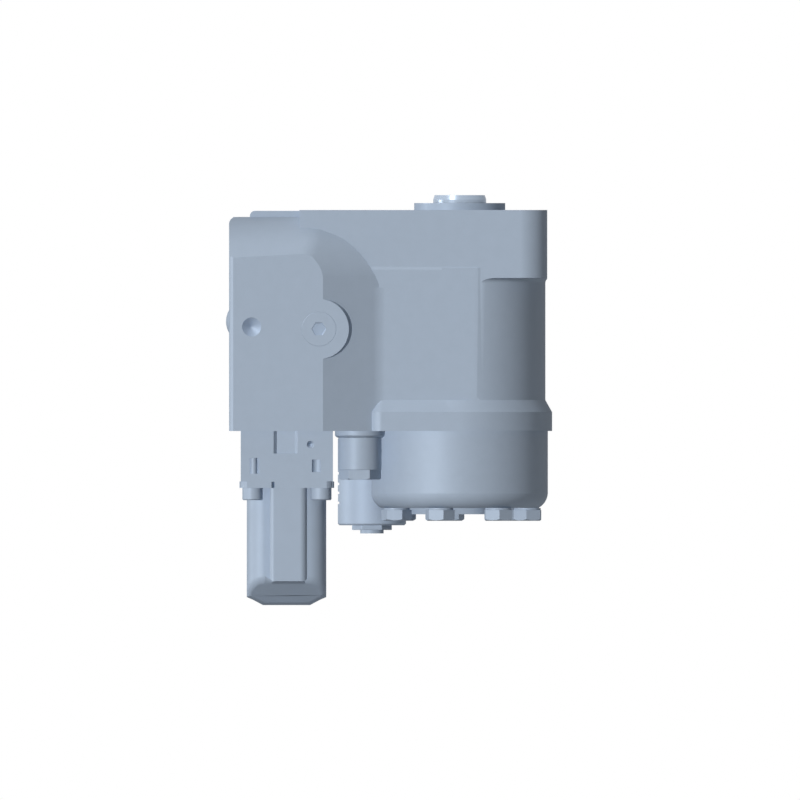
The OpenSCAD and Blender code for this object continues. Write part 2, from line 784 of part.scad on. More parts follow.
module control_spring_upper() {
  color(dark_c) translate([-control_x, -control_y, 0])
    coil_spring(5.4, 0.8, z_control_top + 0.82, -block_drop - top_plug_h - z_control_top - 1.64, 8);
}

module control_spring_lower() {
  color(dark_c) translate([-control_x, -control_y, 0])
    coil_spring(5.2, 0.8, z_body + 3.02, z_control_bottom - z_body - 3.84, 8);
}

module spring_seat() {
  color(steel_c) translate([-control_x, -control_y, 0]) tube(11.9, 2.3, z_body + 0.05, z_body + 2.2);
}

module position_rod() {
  color(steel_c) translate([-control_x, -control_y, 0]) rod(2, z_pilot - 32, z_control_bottom + 9.5);
}

module cartridge_body() {
  color(steel_c) translate([-cartridge_x, -cartridge_y, 0]) difference() {
    union() {
      rod(8.5, z_body - 1, z_body + 25);
      rod(cartridge_flange_r, z_body - 2.2, z_body);
      intersection() {
        rod(cartridge_flange_r, z_body - 3.2, z_body - 2.2);
        taper(cartridge_flange_r - 1, cartridge_flange_r + 1.2, z_body - 3.2, z_body - 1);
      }
      rod(cartridge_r, z_body - 19, z_body - 3);
      intersection() {
        rotate([0, 0, -2]) hexagon(cartridge_af, z_body - 23.8, z_body - 18);
        taper(cartridge_af / 2 + 0.4, cartridge_af / 2 + 10.4, z_body - 23.8, z_body - 18);
      }
    }
    rod(4.5, z_body - 17, z_body + 26);
  }
}

module cartridge_seat() {
  color(steel_c) translate([-cartridge_x, -cartridge_y, 0]) tube(8.45, 2.4, z_body + 25.02, z_body + 29.9);
}

module cartridge_poppet() {
  color(steel_c) translate([-cartridge_x, -cartridge_y, 0]) {
    rod(4.46, z_body + 10, z_body + 21);
    taper(3.9, 2.0, z_body + 21, z_body + 24.9);
    rod(2, z_body + 7, z_body + 11);
  }
}

module cartridge_spring() {
  color(dark_c) translate([-cartridge_x, -cartridge_y, 0])
    coil_spring(3.2, 0.6, z_body - 16.4, 25.78, 12);
}

module solenoid_tube() {
  color(steel_c) translate([-coil_x, coil_y, 0]) difference() {
    union() {
      rod(9, z_body - 1, z_body + 33.9);
      hexagon(22, z_body - 3.7, z_body);
      rod(tube_r, z_tube_end, z_body - 1);
    }
    rod(4.3, z_tube_end + 2.5, z_body - 15);
    rod(1.7, z_body - 16, z_body + 20);
    rod(5, z_body + 18, z_body + 35);
    bar_y(0, z_body + 24, 2, -12, 12);
  }
}

module solenoid_plunger() {
  color(steel_c) translate([-coil_x, coil_y, 0]) {
    rod(4.25, z_tube_end + 8.5, z_body - 18.5);
    rod(1.5, z_body - 19, z_body + 24);
    taper(3.6, 2.2, z_body + 23, z_body + 27);
  }
}

module plunger_spring() {
  color(dark_c) translate([-coil_x, coil_y, 0])
    coil_spring(2.9, 0.5, z_tube_end + 3.02, 4.96, 6);
}

module coil() {
  color(plastic_c) translate([-coil_x, coil_y, 0]) difference() {
    union() {
      rod(coil_r, z_coil - coil_h + 0.8, z_coil);
      taper(coil_r - 0.8, coil_r, z_coil - coil_h, z_coil - coil_h + 0.8);
      translate([-9, 0, z_coil - 17]) cube([18, coil_r + 5, 14]);
    }
    rod(tube_r + 0.06, z_coil - coil_h - 1, z_coil + 1);
    for (z = [-129, -134.2, -138.6, -143.5])
      translate([-coil_r - 5, -6, z - 0.6]) cube([5.7, 12, 1.2]);
    translate([-5.5, coil_r + 2.5, z_coil - 14.5]) cube([11, 3, 9]);
  }
}

module coil_nut() {
  color(steel_c) translate([-coil_x, coil_y, 0]) difference() {
    hexagon(nut_af, z_coil - coil_h - 2.3, z_coil - coil_h);
    rod(tube_r + 0.03, z_tube_end - 1, z_body);
  }
}

module coil_connector() {
  color(dark_c) translate([-coil_x, coil_y + coil_r + 5, z_coil - 10]) difference() {
    union() {
      translate([-8, 0, -6]) cube([16, 14, 12]);
      translate([-5.4, -2.4, -4.4]) cube([10.8, 3, 8.8]);
    }
    translate([-6.5, 3, -4.5]) cube([13, 12, 9]);
  }
}

module pilot_block() {
  color(cast_c) difference() {
    union() {
      translate([-pilot_left, -pilot_front, z_pilot])
        cube([pilot_left - pilot_right, pilot_front - pilot_rear, pilot_h]);
      translate([0, 0, z_pilot]) linear_extrude(3.2)
        round_plan(-screw_left - 6.4, -pilot_front, -screw_right + 6.3, -pilot_rear, 6.3);
    }
    // Corners cut back round the screw bosses
    for (x = [-pilot_left - 1, -pilot_right - 3], y = [-pilot_front - 1])
      difference() {
        translate([x, y, z_pilot - 1]) cube([4, 4, 4.2]);
        translate([x < -90 ? -screw_left : -screw_right, -screw_front, 0])
          rod(6.4, z_pilot - 2, z_pilot + 6);
      }
    for (x = [-screw_left, -screw_right], y = [-screw_front, -screw_rear])
      translate([x, y, 0]) rod(pilot_screw_r + 0.3, z_pilot - 1, z_body + 1);
    translate([-control_x, -control_y, 0]) {
      rod(2.3, z_pilot - 1, z_body + 1);
      rod(3.52, z_pilot - 1, z_pilot + 6);
      rod(6, z_body - 3, z_body + 1);
    }
    // Shallow middle recess and small openings of the front
    translate([0, 0, z_body - 11]) linear_extrude(12)
      polygon([[-91.2, -pilot_front - eps], [-89.6, -pilot_front + 1.6],
        [-80.7, -pilot_front + 1.2], [-79.4, -pilot_front - eps]]);
    translate([-73.1, -pilot_front - 0.2, z_body - 6.6]) rotate([-90, 0, 0])
      cylinder(r1=2, r2=0.3, h=2.4);
    translate([-102.8, -pilot_front - 1, z_body - 20.9]) cube([4.7, 3.5, 7.7]);
    translate([-70.2, -pilot_front, z_body - 20.1]) cylinder(r=2.2, h=6.1);
    translate([0, 0, z_pilot - 1]) linear_extrude(4)
      polygon([[-92.2, -pilot_front - 1], [-92.2, -pilot_front], [-90.8, -pilot_front + 2.2],
        [-90.7, -pilot_front - 1]]);
  }
  color(cast_c) difference() {
    translate([-101, -pilot_front + 2.3, z_body - 20.9]) cylinder(r=1.75, h=7.7);
    translate([-screw_left, -screw_front, 0]) rod(pilot_screw_r + 0.3, z_pilot, z_body);
  }
}

module pilot_screws() {
  color(steel_c) for (x = [-screw_left, -screw_right], y = [-screw_front, -screw_rear])
    translate([x, y, 0]) difference() {
      union() {
        rod(pilot_head_r, z_pilot - pilot_head_h, z_pilot);
        rod(pilot_screw_r, z_pilot - 1, z_body + 9.5);
      }
      translate([0, 0, z_pilot - pilot_head_h - 1]) cylinder(r=5 / sqrt(3), h=4, $fn=6);
    }
}

module sensor_tube() {
  color(steel_c) translate([-control_x, -control_y, 0]) difference() {
    rod(3.5, z_pilot - 40, z_pilot + 5.9);
    rod(2.4, z_pilot - 38.5, z_pilot + 7);
  }
}

module sensor_coil() {
  color(copper_c) translate([-control_x, -control_y, 0]) {
    tube(7, 3.55, z_pilot - 36, z_pilot - 6);
    for (z = [-7, -22, -37]) tube(8.5, 3.55, z_pilot + z, z_pilot + z + 1.5);
  }
}

// Plan of the electronics housing grown or shrunk by an edge distance
module unit_plan(grow) {
  round_plan(-unit_left - grow, -unit_front - grow, -unit_right + grow, -unit_rear + grow,
    unit_corner_r + grow);
}

// Front rib of the electronics housing with its rounded edges
module unit_rib() {
  depth = pilot_front - unit_front + 3;
  intersection() {
    translate([0, -pilot_front, z_unit]) linear_extrude(unit_h) {
      translate([-91, 0]) square([12.8, depth]);
      translate([-93, 2]) square([10, depth - 2]);
      translate([-85, 3.4]) square([10.2, depth - 3.4]);
      translate([-91, 2]) circle(2);
      translate([-78.2, 3.4]) circle(3.4);
    }
    translate([0, -unit_front + 3, z_unit]) rotate([90, 0, 0]) linear_extrude(20) {
      translate([-93.3, 14.3]) square([18.8, unit_h - 14.3]);
      translate([-90.6, 11.6]) square([13.4, 4]);
      for (x = [-90.6, -77.2]) translate([x, 14.3]) circle(2.7);
    }
    translate([-100, 0, 0]) rotate([90, 0, 90]) linear_extrude(30)
      polygon([[-pilot_front - 1, z_unit + 12], [-pilot_front + 2, z_unit + 11.2],
        [-unit_front + 3.5, z_unit + 9.4], [-unit_front + 3.5, z_pilot], [-pilot_front - 1, z_pilot]]);
  }
}

// Outside of the electronics housing with its slanted end
module unit_shape() {
  intersection() {
    translate([0, 0, z_unit]) linear_extrude(unit_h) unit_plan(0);
    translate([-120, 0, 0]) rotate([90, 0, 90]) linear_extrude(80)
      polygon([[-unit_front - 1, z_pilot + 1], [-unit_front - 1, z_unit + 12.6], [-unit_front, z_unit + 11.8],
        [-unit_front + 14.2, z_unit], [-unit_rear - 5, z_unit], [-unit_rear + 1, z_unit + 5],
        [-unit_rear + 1, z_pilot + 1]]);
    translate([0, 20, 0]) rotate([90, 0, 0]) linear_extrude(80)
      polygon([[-unit_left - 1, z_pilot + 1], [-unit_left - 1, z_unit + 4.1],
        [-unit_left, z_unit + 3.9], [-unit_left + 3.5, z_unit + 2.4], [-unit_left + 7.9, z_unit],
        [-unit_right - 7.9, z_unit], [-unit_right - 3.5, z_unit + 2.4], [-unit_right, z_unit + 3.9],
        [-unit_right + 1, z_unit + 4.1], [-unit_right + 1, z_pilot + 1]]);
  }
}

module electronics_housing() {
  color(plastic_c) difference() {
    union() {
      unit_shape();
      unit_rib();
    }
    translate([0, 0, z_unit + unit_floor]) linear_extrude(unit_h) unit_plan(-unit_wall);
    for (z = [-18, -38]) translate([-92.1, -unit_rear - 4, z_pilot + z - 4.6]) cube([14.2, 6, 9.2]);
  }
}

module circuit_board() {
  color(board_c) {
    translate([-74.6, -26, z_pilot - board_h]) cube([1.6, 30, board_h]);
    for (z = [-14, -24, -36], y = [-20, -8]) translate([-75.9, y, z_pilot + z]) cube([1.4, 7, 7]);
  }
}

module connectors() {
  color(dark_c) for (z = [-18, -38]) translate([-85, -unit_rear, z_pilot + z]) difference() {
    union() {
      translate([-9, 0.02, -6.5]) cube([18, 15, 13]);
      translate([-7, -2.4, -4.5]) cube([14, 3, 9]);
    }
    translate([-7.5, 3, -5]) cube([15, 13, 10]);
  }
}

module connector_pins() {
  color(copper_c) for (z = [-18, -38], x = [-4, 0, 4], up = [-2, 2])
    bar_y(-85 + x, z_pilot + z + up, 0.6, -unit_rear + 3.01, -unit_rear + 11);
}

body();
dust_seal();
shaft_seal();
bearing_race_upper();
needle_cage();
bearing_race_lower();
spool();
sleeve();
cross_pin();
centring_springs();
cardan_shaft();
spacer_disc();
distributor_plate();
gear_ring();
gear_star();
end_cover();
cover_seals();
cover_screws();
screw_washers();
check_ball();
check_bushing();
relief_plug();
relief_seat();
relief_poppet();
relief_spring();
side_plug();
top_plug();
control_spool();
control_spring_upper();
control_spring_lower();
spring_seat();
position_rod();
cartridge_body();
cartridge_seat();
cartridge_poppet();
cartridge_spring();
solenoid_tube();
solenoid_plunger();
plunger_spring();
coil();
coil_nut();
coil_connector();
pilot_block();
pilot_screws();
sensor_tube();
sensor_coil();
electronics_housing();
circuit_board();
connectors();
connector_pins();
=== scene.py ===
"""Looks of a steering valve: an orbital steering unit with an electro-hydraulic valve block.

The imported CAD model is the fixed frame. The castings, covers, plugs and moulded cases are shown by
copies of its solids with their edges broken as on the real parts. Screws, threads and coil springs,
which repeat or follow a path, are grown with Geometry Nodes. Every other solid keeps its shape and
gets a finish.
"""

import logging
import math
from dataclasses import dataclass, field
from enum import Enum
from typing import Any, Dict, Iterable, List, Optional, Sequence, Tuple, Union

import bmesh
import bpy
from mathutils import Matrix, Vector


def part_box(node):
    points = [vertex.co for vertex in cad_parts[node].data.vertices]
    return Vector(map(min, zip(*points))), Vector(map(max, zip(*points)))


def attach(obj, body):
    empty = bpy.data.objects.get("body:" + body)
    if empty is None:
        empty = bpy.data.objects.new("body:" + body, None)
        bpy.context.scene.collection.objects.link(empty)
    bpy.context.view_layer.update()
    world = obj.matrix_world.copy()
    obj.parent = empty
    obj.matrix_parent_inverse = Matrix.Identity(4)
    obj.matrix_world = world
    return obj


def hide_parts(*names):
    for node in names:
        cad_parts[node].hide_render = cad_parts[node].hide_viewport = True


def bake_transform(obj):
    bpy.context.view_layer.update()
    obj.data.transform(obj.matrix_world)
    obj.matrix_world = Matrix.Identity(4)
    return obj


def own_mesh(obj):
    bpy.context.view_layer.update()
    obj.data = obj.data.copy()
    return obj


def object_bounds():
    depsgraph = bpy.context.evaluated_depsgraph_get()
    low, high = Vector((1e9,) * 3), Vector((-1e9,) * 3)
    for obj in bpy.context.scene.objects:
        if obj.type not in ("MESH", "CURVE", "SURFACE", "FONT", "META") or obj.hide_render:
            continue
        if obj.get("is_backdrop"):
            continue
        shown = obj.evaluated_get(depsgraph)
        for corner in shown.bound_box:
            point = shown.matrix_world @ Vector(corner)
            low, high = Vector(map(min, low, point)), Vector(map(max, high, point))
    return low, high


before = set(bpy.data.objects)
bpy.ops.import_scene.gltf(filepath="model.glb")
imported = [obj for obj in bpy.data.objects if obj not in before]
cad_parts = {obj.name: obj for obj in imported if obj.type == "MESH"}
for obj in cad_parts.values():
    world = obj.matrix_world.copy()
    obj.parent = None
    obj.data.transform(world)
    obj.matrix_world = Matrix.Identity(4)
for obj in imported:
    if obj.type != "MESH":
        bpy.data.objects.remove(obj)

LOG = logging.getLogger("steering_valve")
MM = 0.001
# Corners closer together than this are one corner
MERGE = 0.001 * MM
Piece = bpy.types.Object
Material = bpy.types.Material
Socket = bpy.types.NodeSocket
Point = Tuple[float, float, float]
Colour = Tuple[float, float, float, float]
Operand = Union["Expr", float, int]
SLATE: Colour = (0.337, 0.402, 0.491, 1.0)
STEEL: Colour = (0.53, 0.54, 0.55, 1.0)


class Axis(Enum):
    """One of the frame's three directions."""

    X = 0
    Y = 1
    Z = 2


class Expr:
    """A number that varies over a surface. Python's operators on it add Math nodes."""

    def __init__(self, tree: bpy.types.NodeTree, socket: Socket) -> None:
        """Wraps a socket.

        Args:
            tree: The node tree that holds the socket.
            socket: The output that carries the number.
        """
        self.tree = tree
        self.socket = socket

    def math(self, operation: str, *values: Operand, clamp: bool = False) -> "Expr":
        """Adds one Math node.

        Args:
            operation: Blender's name of the operation.
            values: What goes into its inputs, in order.
            clamp: Whether the result is kept from 0 to 1.

        Returns:
            The node's result.
        """
        node = self.tree.nodes.new("ShaderNodeMath")
        node.operation = operation
        node.use_clamp = clamp
        for slot, value in enumerate(values):
            if isinstance(value, Expr):
                self.tree.links.new(value.socket, node.inputs[slot])
            else:
                node.inputs[slot].default_value = float(value)
        return Expr(self.tree, node.outputs[0])

    def __add__(self, other: Operand) -> "Expr":
        """Sum."""
        return self.math("ADD", self, other)

    def __radd__(self, other: Operand) -> "Expr":
        """Sum, reflected."""
        return self.math("ADD", other, self)

    def __sub__(self, other: Operand) -> "Expr":
        """Difference."""
        return self.math("SUBTRACT", self, other)

    def __rsub__(self, other: Operand) -> "Expr":
        """Difference, reflected."""
        return self.math("SUBTRACT", other, self)

    def __mul__(self, other: Operand) -> "Expr":
        """Product."""
        return self.math("MULTIPLY", self, other)

    def __rmul__(self, other: Operand) -> "Expr":
        """Product, reflected."""
        return self.math("MULTIPLY", other, self)

    def __pow__(self, other: Operand) -> "Expr":
        """Power."""
        return self.math("POWER", self, other)

    def __gt__(self, other: Operand) -> "Expr":
        """1 where this number is the greater, otherwise 0."""
        return self.math("GREATER_THAN", self, other)

    def __lt__(self, other: Operand) -> "Expr":
        """1 where this number is the smaller, otherwise 0."""
        return self.math("LESS_THAN", self, other)

    def most(self, other: Operand) -> "Expr":
        """The greater of two numbers."""
        return self.math("MAXIMUM", self, other)

    def wave(self) -> "Expr":
        """Sine."""
        return self.math("SINE", self)

    def size(self) -> "Expr":
        """Value without its sign."""
        return self.math("ABSOLUTE", self)

    def root(self) -> "Expr":
        """Square root."""
        return self.math("SQRT", self)

    def held(self) -> "Expr":
        """The number kept from 0 to 1."""
        return self.math("ADD", self, 0.0, clamp=True)

    def mixed(self, other: "Expr", share: float) -> "Expr":
        """A mix of two numbers, with the first one's share of it."""
        return self * share + other * (1 - share)


class Shader:
    """A material's node tree, made of expressions and plain nodes."""

    def __init__(self, name: str) -> None:
        """Makes a material with a Principled shader and nothing else.

        Args:
            name: The material's name.
        """
        self.material = bpy.data.materials.new(name)
        self.material.use_nodes = True
        self.tree = self.material.node_tree
        self.tree.nodes.clear()
        output = self.node("ShaderNodeOutputMaterial")
        self.surface = self.node("ShaderNodeBsdfPrincipled")
        self.tree.links.new(self.surface.outputs[0], output.inputs["Surface"])

    def node(
        self,
        kind: str,
        settings: Optional[Dict[str, Any]] = None,
        inputs: Optional[Dict[str, Any]] = None,
    ) -> bpy.types.Node:
        """Adds a node of any type.

        Args:
            kind: Blender's name of the node type.
            settings: Properties of the node, set before its sockets.
            inputs: Values or links of its sockets, by name.

        Returns:
            The new node.
        """
        node = self.tree.nodes.new(kind)
        for key, value in (settings or {}).items():
            setattr(node, key, value)
        for key, value in (inputs or {}).items():
            self.feed(node.inputs[key], value)
        return node

    def feed(self, socket: Socket, value: Any) -> None:
        """Sets a socket, or links it.

        Args:
            socket: The input to feed.
            value: An Expr, another node's output, or a constant.
        """
        if isinstance(value, Expr):
            self.tree.links.new(value.socket, socket)
        elif isinstance(value, Socket):
            self.tree.links.new(value, socket)
        else:
            socket.default_value = value

    def place(self) -> Tuple[Socket, Expr, Expr, Expr]:
        """Reads the point on the piece.

        Returns:
            The Object coordinates, and their X, Y and Z.
        """
        point = self.node("ShaderNodeTexCoord").outputs["Object"]
        split = self.node("ShaderNodeSeparateXYZ", inputs={"Vector": point})
        x, y, z = (Expr(self.tree, split.outputs[k]) for k in range(3))
        return point, x, y, z

    def vector(self, x: Operand, y: Operand, z: Operand) -> Socket:
        """Joins three numbers into a vector."""
        inputs = {"X": x, "Y": y, "Z": z}
        return self.node("ShaderNodeCombineXYZ", inputs=inputs).outputs[0]

    def noise(self, vector: Socket, scale: float, detail: float = 2.0) -> Expr:
        """Adds a noise from 0 to 1.

        Args:
            vector: Where it is read.
            scale: Number of features in a metre, or in a unit of the vector.
            detail: Number of finer layers.

        Returns:
            The noise.
        """
        inputs = {"Vector": vector, "Scale": scale, "Detail": detail, "Roughness": 0.5}
        node = self.node("ShaderNodeTexNoise", {"noise_dimensions": "3D"}, inputs)
        return Expr(self.tree, node.outputs[0])

    def cells(self, vector: Socket, scale: float) -> Expr:
        """Adds the distance to the nearest of scattered points, for moulded grain.

        Args:
            vector: Where it is read.
            scale: Number of points in a metre.

        Returns:
            The distance, as a share of the points' spacing.
        """
        inputs = {"Vector": vector, "Scale": scale}
        node = self.node("ShaderNodeTexVoronoi", {"feature": "SMOOTH_F1"}, inputs)
        return Expr(self.tree, node.outputs[0])

    def blend(self, factor: Expr, low: Colour, high: Colour) -> Socket:
        """Mixes two colours.

        Args:
            factor: 0 for the first colour and 1 for the second.
            low: The first colour.
            high: The second colour.

        Returns:
            The mixed colour.
        """
        node = self.node("ShaderNodeMix", {"data_type": "RGBA"})
        self.feed(node.inputs[0], factor)
        node.inputs[6].default_value = low
        node.inputs[7].default_value = high
        return node.outputs[2]

    def bump(self, height: Expr, metres: float) -> None:
        """Feeds the surface's normal from a height.

        Args:
            height: A height from 0 to 1.
            metres: How far 1 stands out.
        """
        inputs = {"Height": height, "Strength": 1.0, "Distance": metres}
        node = self.node("ShaderNodeBump", inputs=inputs)
        self.feed(self.surface.inputs["Normal"], node.outputs[0])

    def surface_values(self, **values: Any) -> None:
        """Feeds sockets of the Principled shader, with underscores for the spaces of their names."""
        for key, value in values.items():
            self.feed(self.surface.inputs[key.replace("_", " ")], value)


def shade(colour: Colour, factor: float) -> Colour:
    """Darkens or lightens a colour.

    Args:
        colour: A linear colour.
        factor: What its three parts are multiplied by.

    Returns:
        The changed colour.
    """
    return (colour[0] * factor, colour[1] * factor, colour[2] * factor, 1.0)


@dataclass(frozen=True)
class Finish:
    """What every finish has. Each kind of finish draws its own surface.

    Its spread is how far the colour varies, and uneven how far the roughness does. Scales count
    features in a metre, and a share is the finer pattern's part of a mix with the broader one.
    """

    name: str
    colour: Colour = SLATE
    roughness: float = 0.42
    metallic: float = 0.16
    specular: float = 0.0
    spread: float = 0.05
    uneven: float = 0.1
    cloud: float = 200.0
    tint_share: float = 0.5
    relief_share: float = 0.5
    depth: float = 0.02 * MM

    def build(self) -> Material:
        """Makes the material.

        Returns:
            The material.
        """
        shader = Shader(self.name)
        shader.surface_values(Metallic=self.metallic, Specular_IOR_Level=self.specular)
        self.draw(shader)
        return shader.material

    def draw(self, shader: Shader) -> None:
        """Feeds what varies over the surface."""
        raise NotImplementedError

    def tint(self, shader: Shader, mask: Expr) -> None:
        """Varies the colour a little round the finish's own.

        Args:
            shader: The material.
            mask: 0 for the darker colour and 1 for the lighter.
        """
        low, high = shade(self.colour, 1 - self.spread), shade(self.colour, 1 + self.spread)
        shader.surface_values(Base_Color=shader.blend(mask.held(), low, high))

    def roughen(self, shader: Shader, mask: Expr) -> None:
        """Varies the roughness by a mask, at 0 where it is the finish's own."""
        shader.surface_values(Roughness=(self.roughness + mask * self.uneven).held())


@dataclass(frozen=True)
class MilledFace:
    """A level on one axis, past which a casting is milled."""

    axis: Axis
    level: float
    above: bool = True


@dataclass(frozen=True)
class CastPaint(Finish):
    """Paint over a sand casting, with milled faces where other parts seat."""

    uneven: float = 0.12
    cloud: float = 170.0
    tint_share: float = 0.4
    relief_share: float = 0.35
    grain: float = 1500.0
    milled: Tuple[MilledFace, ...] = ()
    cutter: Point = (-0.21, -0.09, 0.17)
    feed: float = 0.9 * MM
    ridge: float = 0.06
    polish: float = 0.05

    def draw(self, shader: Shader) -> None:
        """Draws cast grain, and fine milling arcs past the levels of the milled faces.

        Args:
            shader: The material.
        """
        point, *place = shader.place()
        fine = shader.noise(point, self.grain, detail=3.0)
        broad = shader.noise(point, self.cloud)
        height = fine.mixed(broad, self.relief_share)
        rough = self.roughness + (fine - 0.5) * self.uneven
        if self.milled:
            milled = self.milling(place)
            height = height * (1 - milled) + self.arcs(place) * milled
            rough = rough - milled * self.polish
        self.tint(shader, fine.mixed(broad, self.tint_share))
        shader.surface_values(Roughness=rough.held())
        shader.bump(height, self.depth)

    def milling(self, place: Sequence[Expr]) -> Expr:
        """Tells the milled faces from the cast skin.

        Args:
            place: X, Y and Z of the point on the piece.

        Returns:
            1 past the level of a milled face, otherwise 0.
        """
        sides = []
        for face in self.milled:
            across = place[face.axis.value]
            sides.append(across > face.level if face.above else across < face.level)
        mask = sides[0]
        for side in sides[1:]:
            mask = mask.most(side)
        return mask

    def arcs(self, place: Sequence[Expr]) -> Expr:
        """Draws the ridges that a milling cutter leaves round its far centre.

        Args:
            place: X, Y and Z of the point on the piece.

        Returns:
            Their height.
        """
        x, y, z = ((across - centre) ** 2.0 for across, centre in zip(place, self.cutter))
        radius = (x + y + z).root()
        return (radius * (2 * math.pi / self.feed)).wave() * self.ridge + 0.5


@dataclass(frozen=True)
class Turned(Finish):
    """Steel turned round the steering axis, which leaves fine rings on its flanks and ends."""

    uneven: float = 0.16
    cloud: float = 230.0
    tint_share: float = 0.35
    depth: float = 0.012 * MM
    rings: float = 2600.0

    def draw(self, shader: Shader) -> None:
        """Draws the rings that the tool leaves.

        Args:
            shader: The material.
        """
        point, x, y, z = shader.place()
        radius = (x ** 2.0 + y ** 2.0).root()
        spot = shader.vector(radius * self.rings, 0.0, z * self.rings)
        lines = shader.noise(spot, 1.0, detail=3.0)
        self.tint(shader, lines.mixed(shader.noise(point, self.cloud), self.tint_share))
        self.roughen(shader, lines - 0.5)
        shader.bump(lines, self.depth)


@dataclass(frozen=True)
class Brushed(Finish):
    """Metal with straight fine marks, as ground, rolled or drawn."""

    uneven: float = 0.2
    cloud: float = 260.0
    depth: float = 0.008 * MM
    along: Axis = Axis.Z
    marks: float = 3200.0
    stretch: float = 24.0

    def draw(self, shader: Shader) -> None:
        """Draws long fine marks along one axis.

        Args:
            shader: The material.
        """
        point, *place = shader.place()
        scaled = [across * self.marks for across in place]
        scaled[self.along.value] = place[self.along.value] * (self.marks / self.stretch)
        lines = shader.noise(shader.vector(*scaled), 1.0, detail=3.0)
        self.tint(shader, lines.mixed(shader.noise(point, self.cloud), self.tint_share))
        self.roughen(shader, lines - 0.5)
        shader.bump(lines, self.depth)


@dataclass(frozen=True)
class Moulded(Finish):
    """Moulded or die-cast case with a fine eroded grain."""

    uneven: float = 0.15
    cloud: float = 90.0
    tint_share: float = 0.3
    depth: float = 0.016 * MM
    grain: float = 2200.0
    grain_mean: float = 0.4

    def draw(self, shader: Shader) -> None:
        """Draws the grain of the mould, and the slow waves of a shrinking wall.

        Args:
            shader: The material.
        """
        point, _, _, _ = shader.place()
        grain = shader.cells(point, self.grain)
        waves = shader.noise(point, self.cloud, detail=1.0)
        self.tint(shader, grain.mixed(waves, self.tint_share))
        self.roughen(shader, grain - self.grain_mean)
        shader.bump(grain.mixed(waves, self.relief_share), self.depth)


@dataclass(frozen=True)
class Rubber(Finish):
    """Black sealing rubber with a faint bloom."""

    uneven: float = 0.2
    cloud: float = 420.0
    relief_share: float = 0.8
    ripples: float = 9000.0
    ripple: float = 0.1

    def draw(self, shader: Shader) -> None:
        """Draws the bloom and the moulded skin.

        Args:
            shader: The material.
        """
        point, _, _, z = shader.place()
        bloom = shader.noise(point, self.cloud, detail=4.0)
        self.tint(shader, bloom)
        self.roughen(shader, bloom - 0.5)
        shader.bump(bloom * self.relief_share + (z * self.ripples).wave() * self.ripple, self.depth)


@dataclass(frozen=True)
class Wound(Finish):
    """Lacquered copper wire in even turns round an upright axis."""

    uneven: float = 0.25
    cloud: float = 700.0
    tint_share: float = 0.7
    wire: float = 0.4 * MM
    bulge: float = 0.35

    def draw(self, shader: Shader) -> None:
        """Draws the turns, each standing out by a share of the wire.

        Args:
            shader: The material.
        """
        point, _, _, z = shader.place()
        turns = (z * (math.pi / self.wire)).wave().size()
        # The colour is lighter on each turn's crest and darker between turns, painted shade in the grooves,
        # mixed with a random tone
        self.tint(shader, turns.mixed(shader.noise(point, self.cloud), self.tint_share))
        self.roughen(shader, 1 - turns)
        shader.bump(turns, self.wire * self.bulge)


@dataclass(frozen=True)
class Laminate(Finish):
    """Coated circuit board with the weave of its glass cloth showing faintly."""

    cloud: float = 160.0
    tint_share: float = 0.4
    relief_share: float = 0.3
    threads: float = 6200.0
    tracks: float = 1500.0
    track_level: float = 0.82

    def draw(self, shader: Shader) -> None:
        """Draws the weave and faint tracks.

        Args:
            shader: The material.
        """
        point, _, y, z = shader.place()
        weave = (y * self.threads).wave() * (z * self.threads).wave() * 0.5 + 0.5
        tracks = ((z * self.tracks).wave() > self.track_level) * (shader.noise(point, self.cloud) > 0.5)
        self.tint(shader, weave.mixed(tracks, self.tint_share))
        self.roughen(shader, weave)
        shader.bump(weave.mixed(tracks, self.relief_share), self.depth)


@dataclass(frozen=True)
class PlainFloor(Finish):
    """Pale matt studio floor, lifted to near white for the camera and for reflections alone."""

    uneven: float = 0.05
    cloud: float = 14.0
    grain: float = 60.0
    lift: float = 0.7

    def draw(self, shader: Shader) -> None:
        """Draws a barely uneven pale surface.

        Args:
            shader: The material.
        """
        point, _, _, _ = shader.place()
        self.tint(shader, shader.noise(point, self.cloud, detail=1.0))
        path = shader.node("ShaderNodeLightPath").outputs
        seen = Expr(shader.tree, path["Is Camera Ray"]).most(Expr(shader.tree, path["Is Glossy Ray"]))
        shader.surface_values(Emission_Color=seen * self.lift, Emission_Strength=1.0)
        self.roughen(shader, shader.noise(point, self.grain))


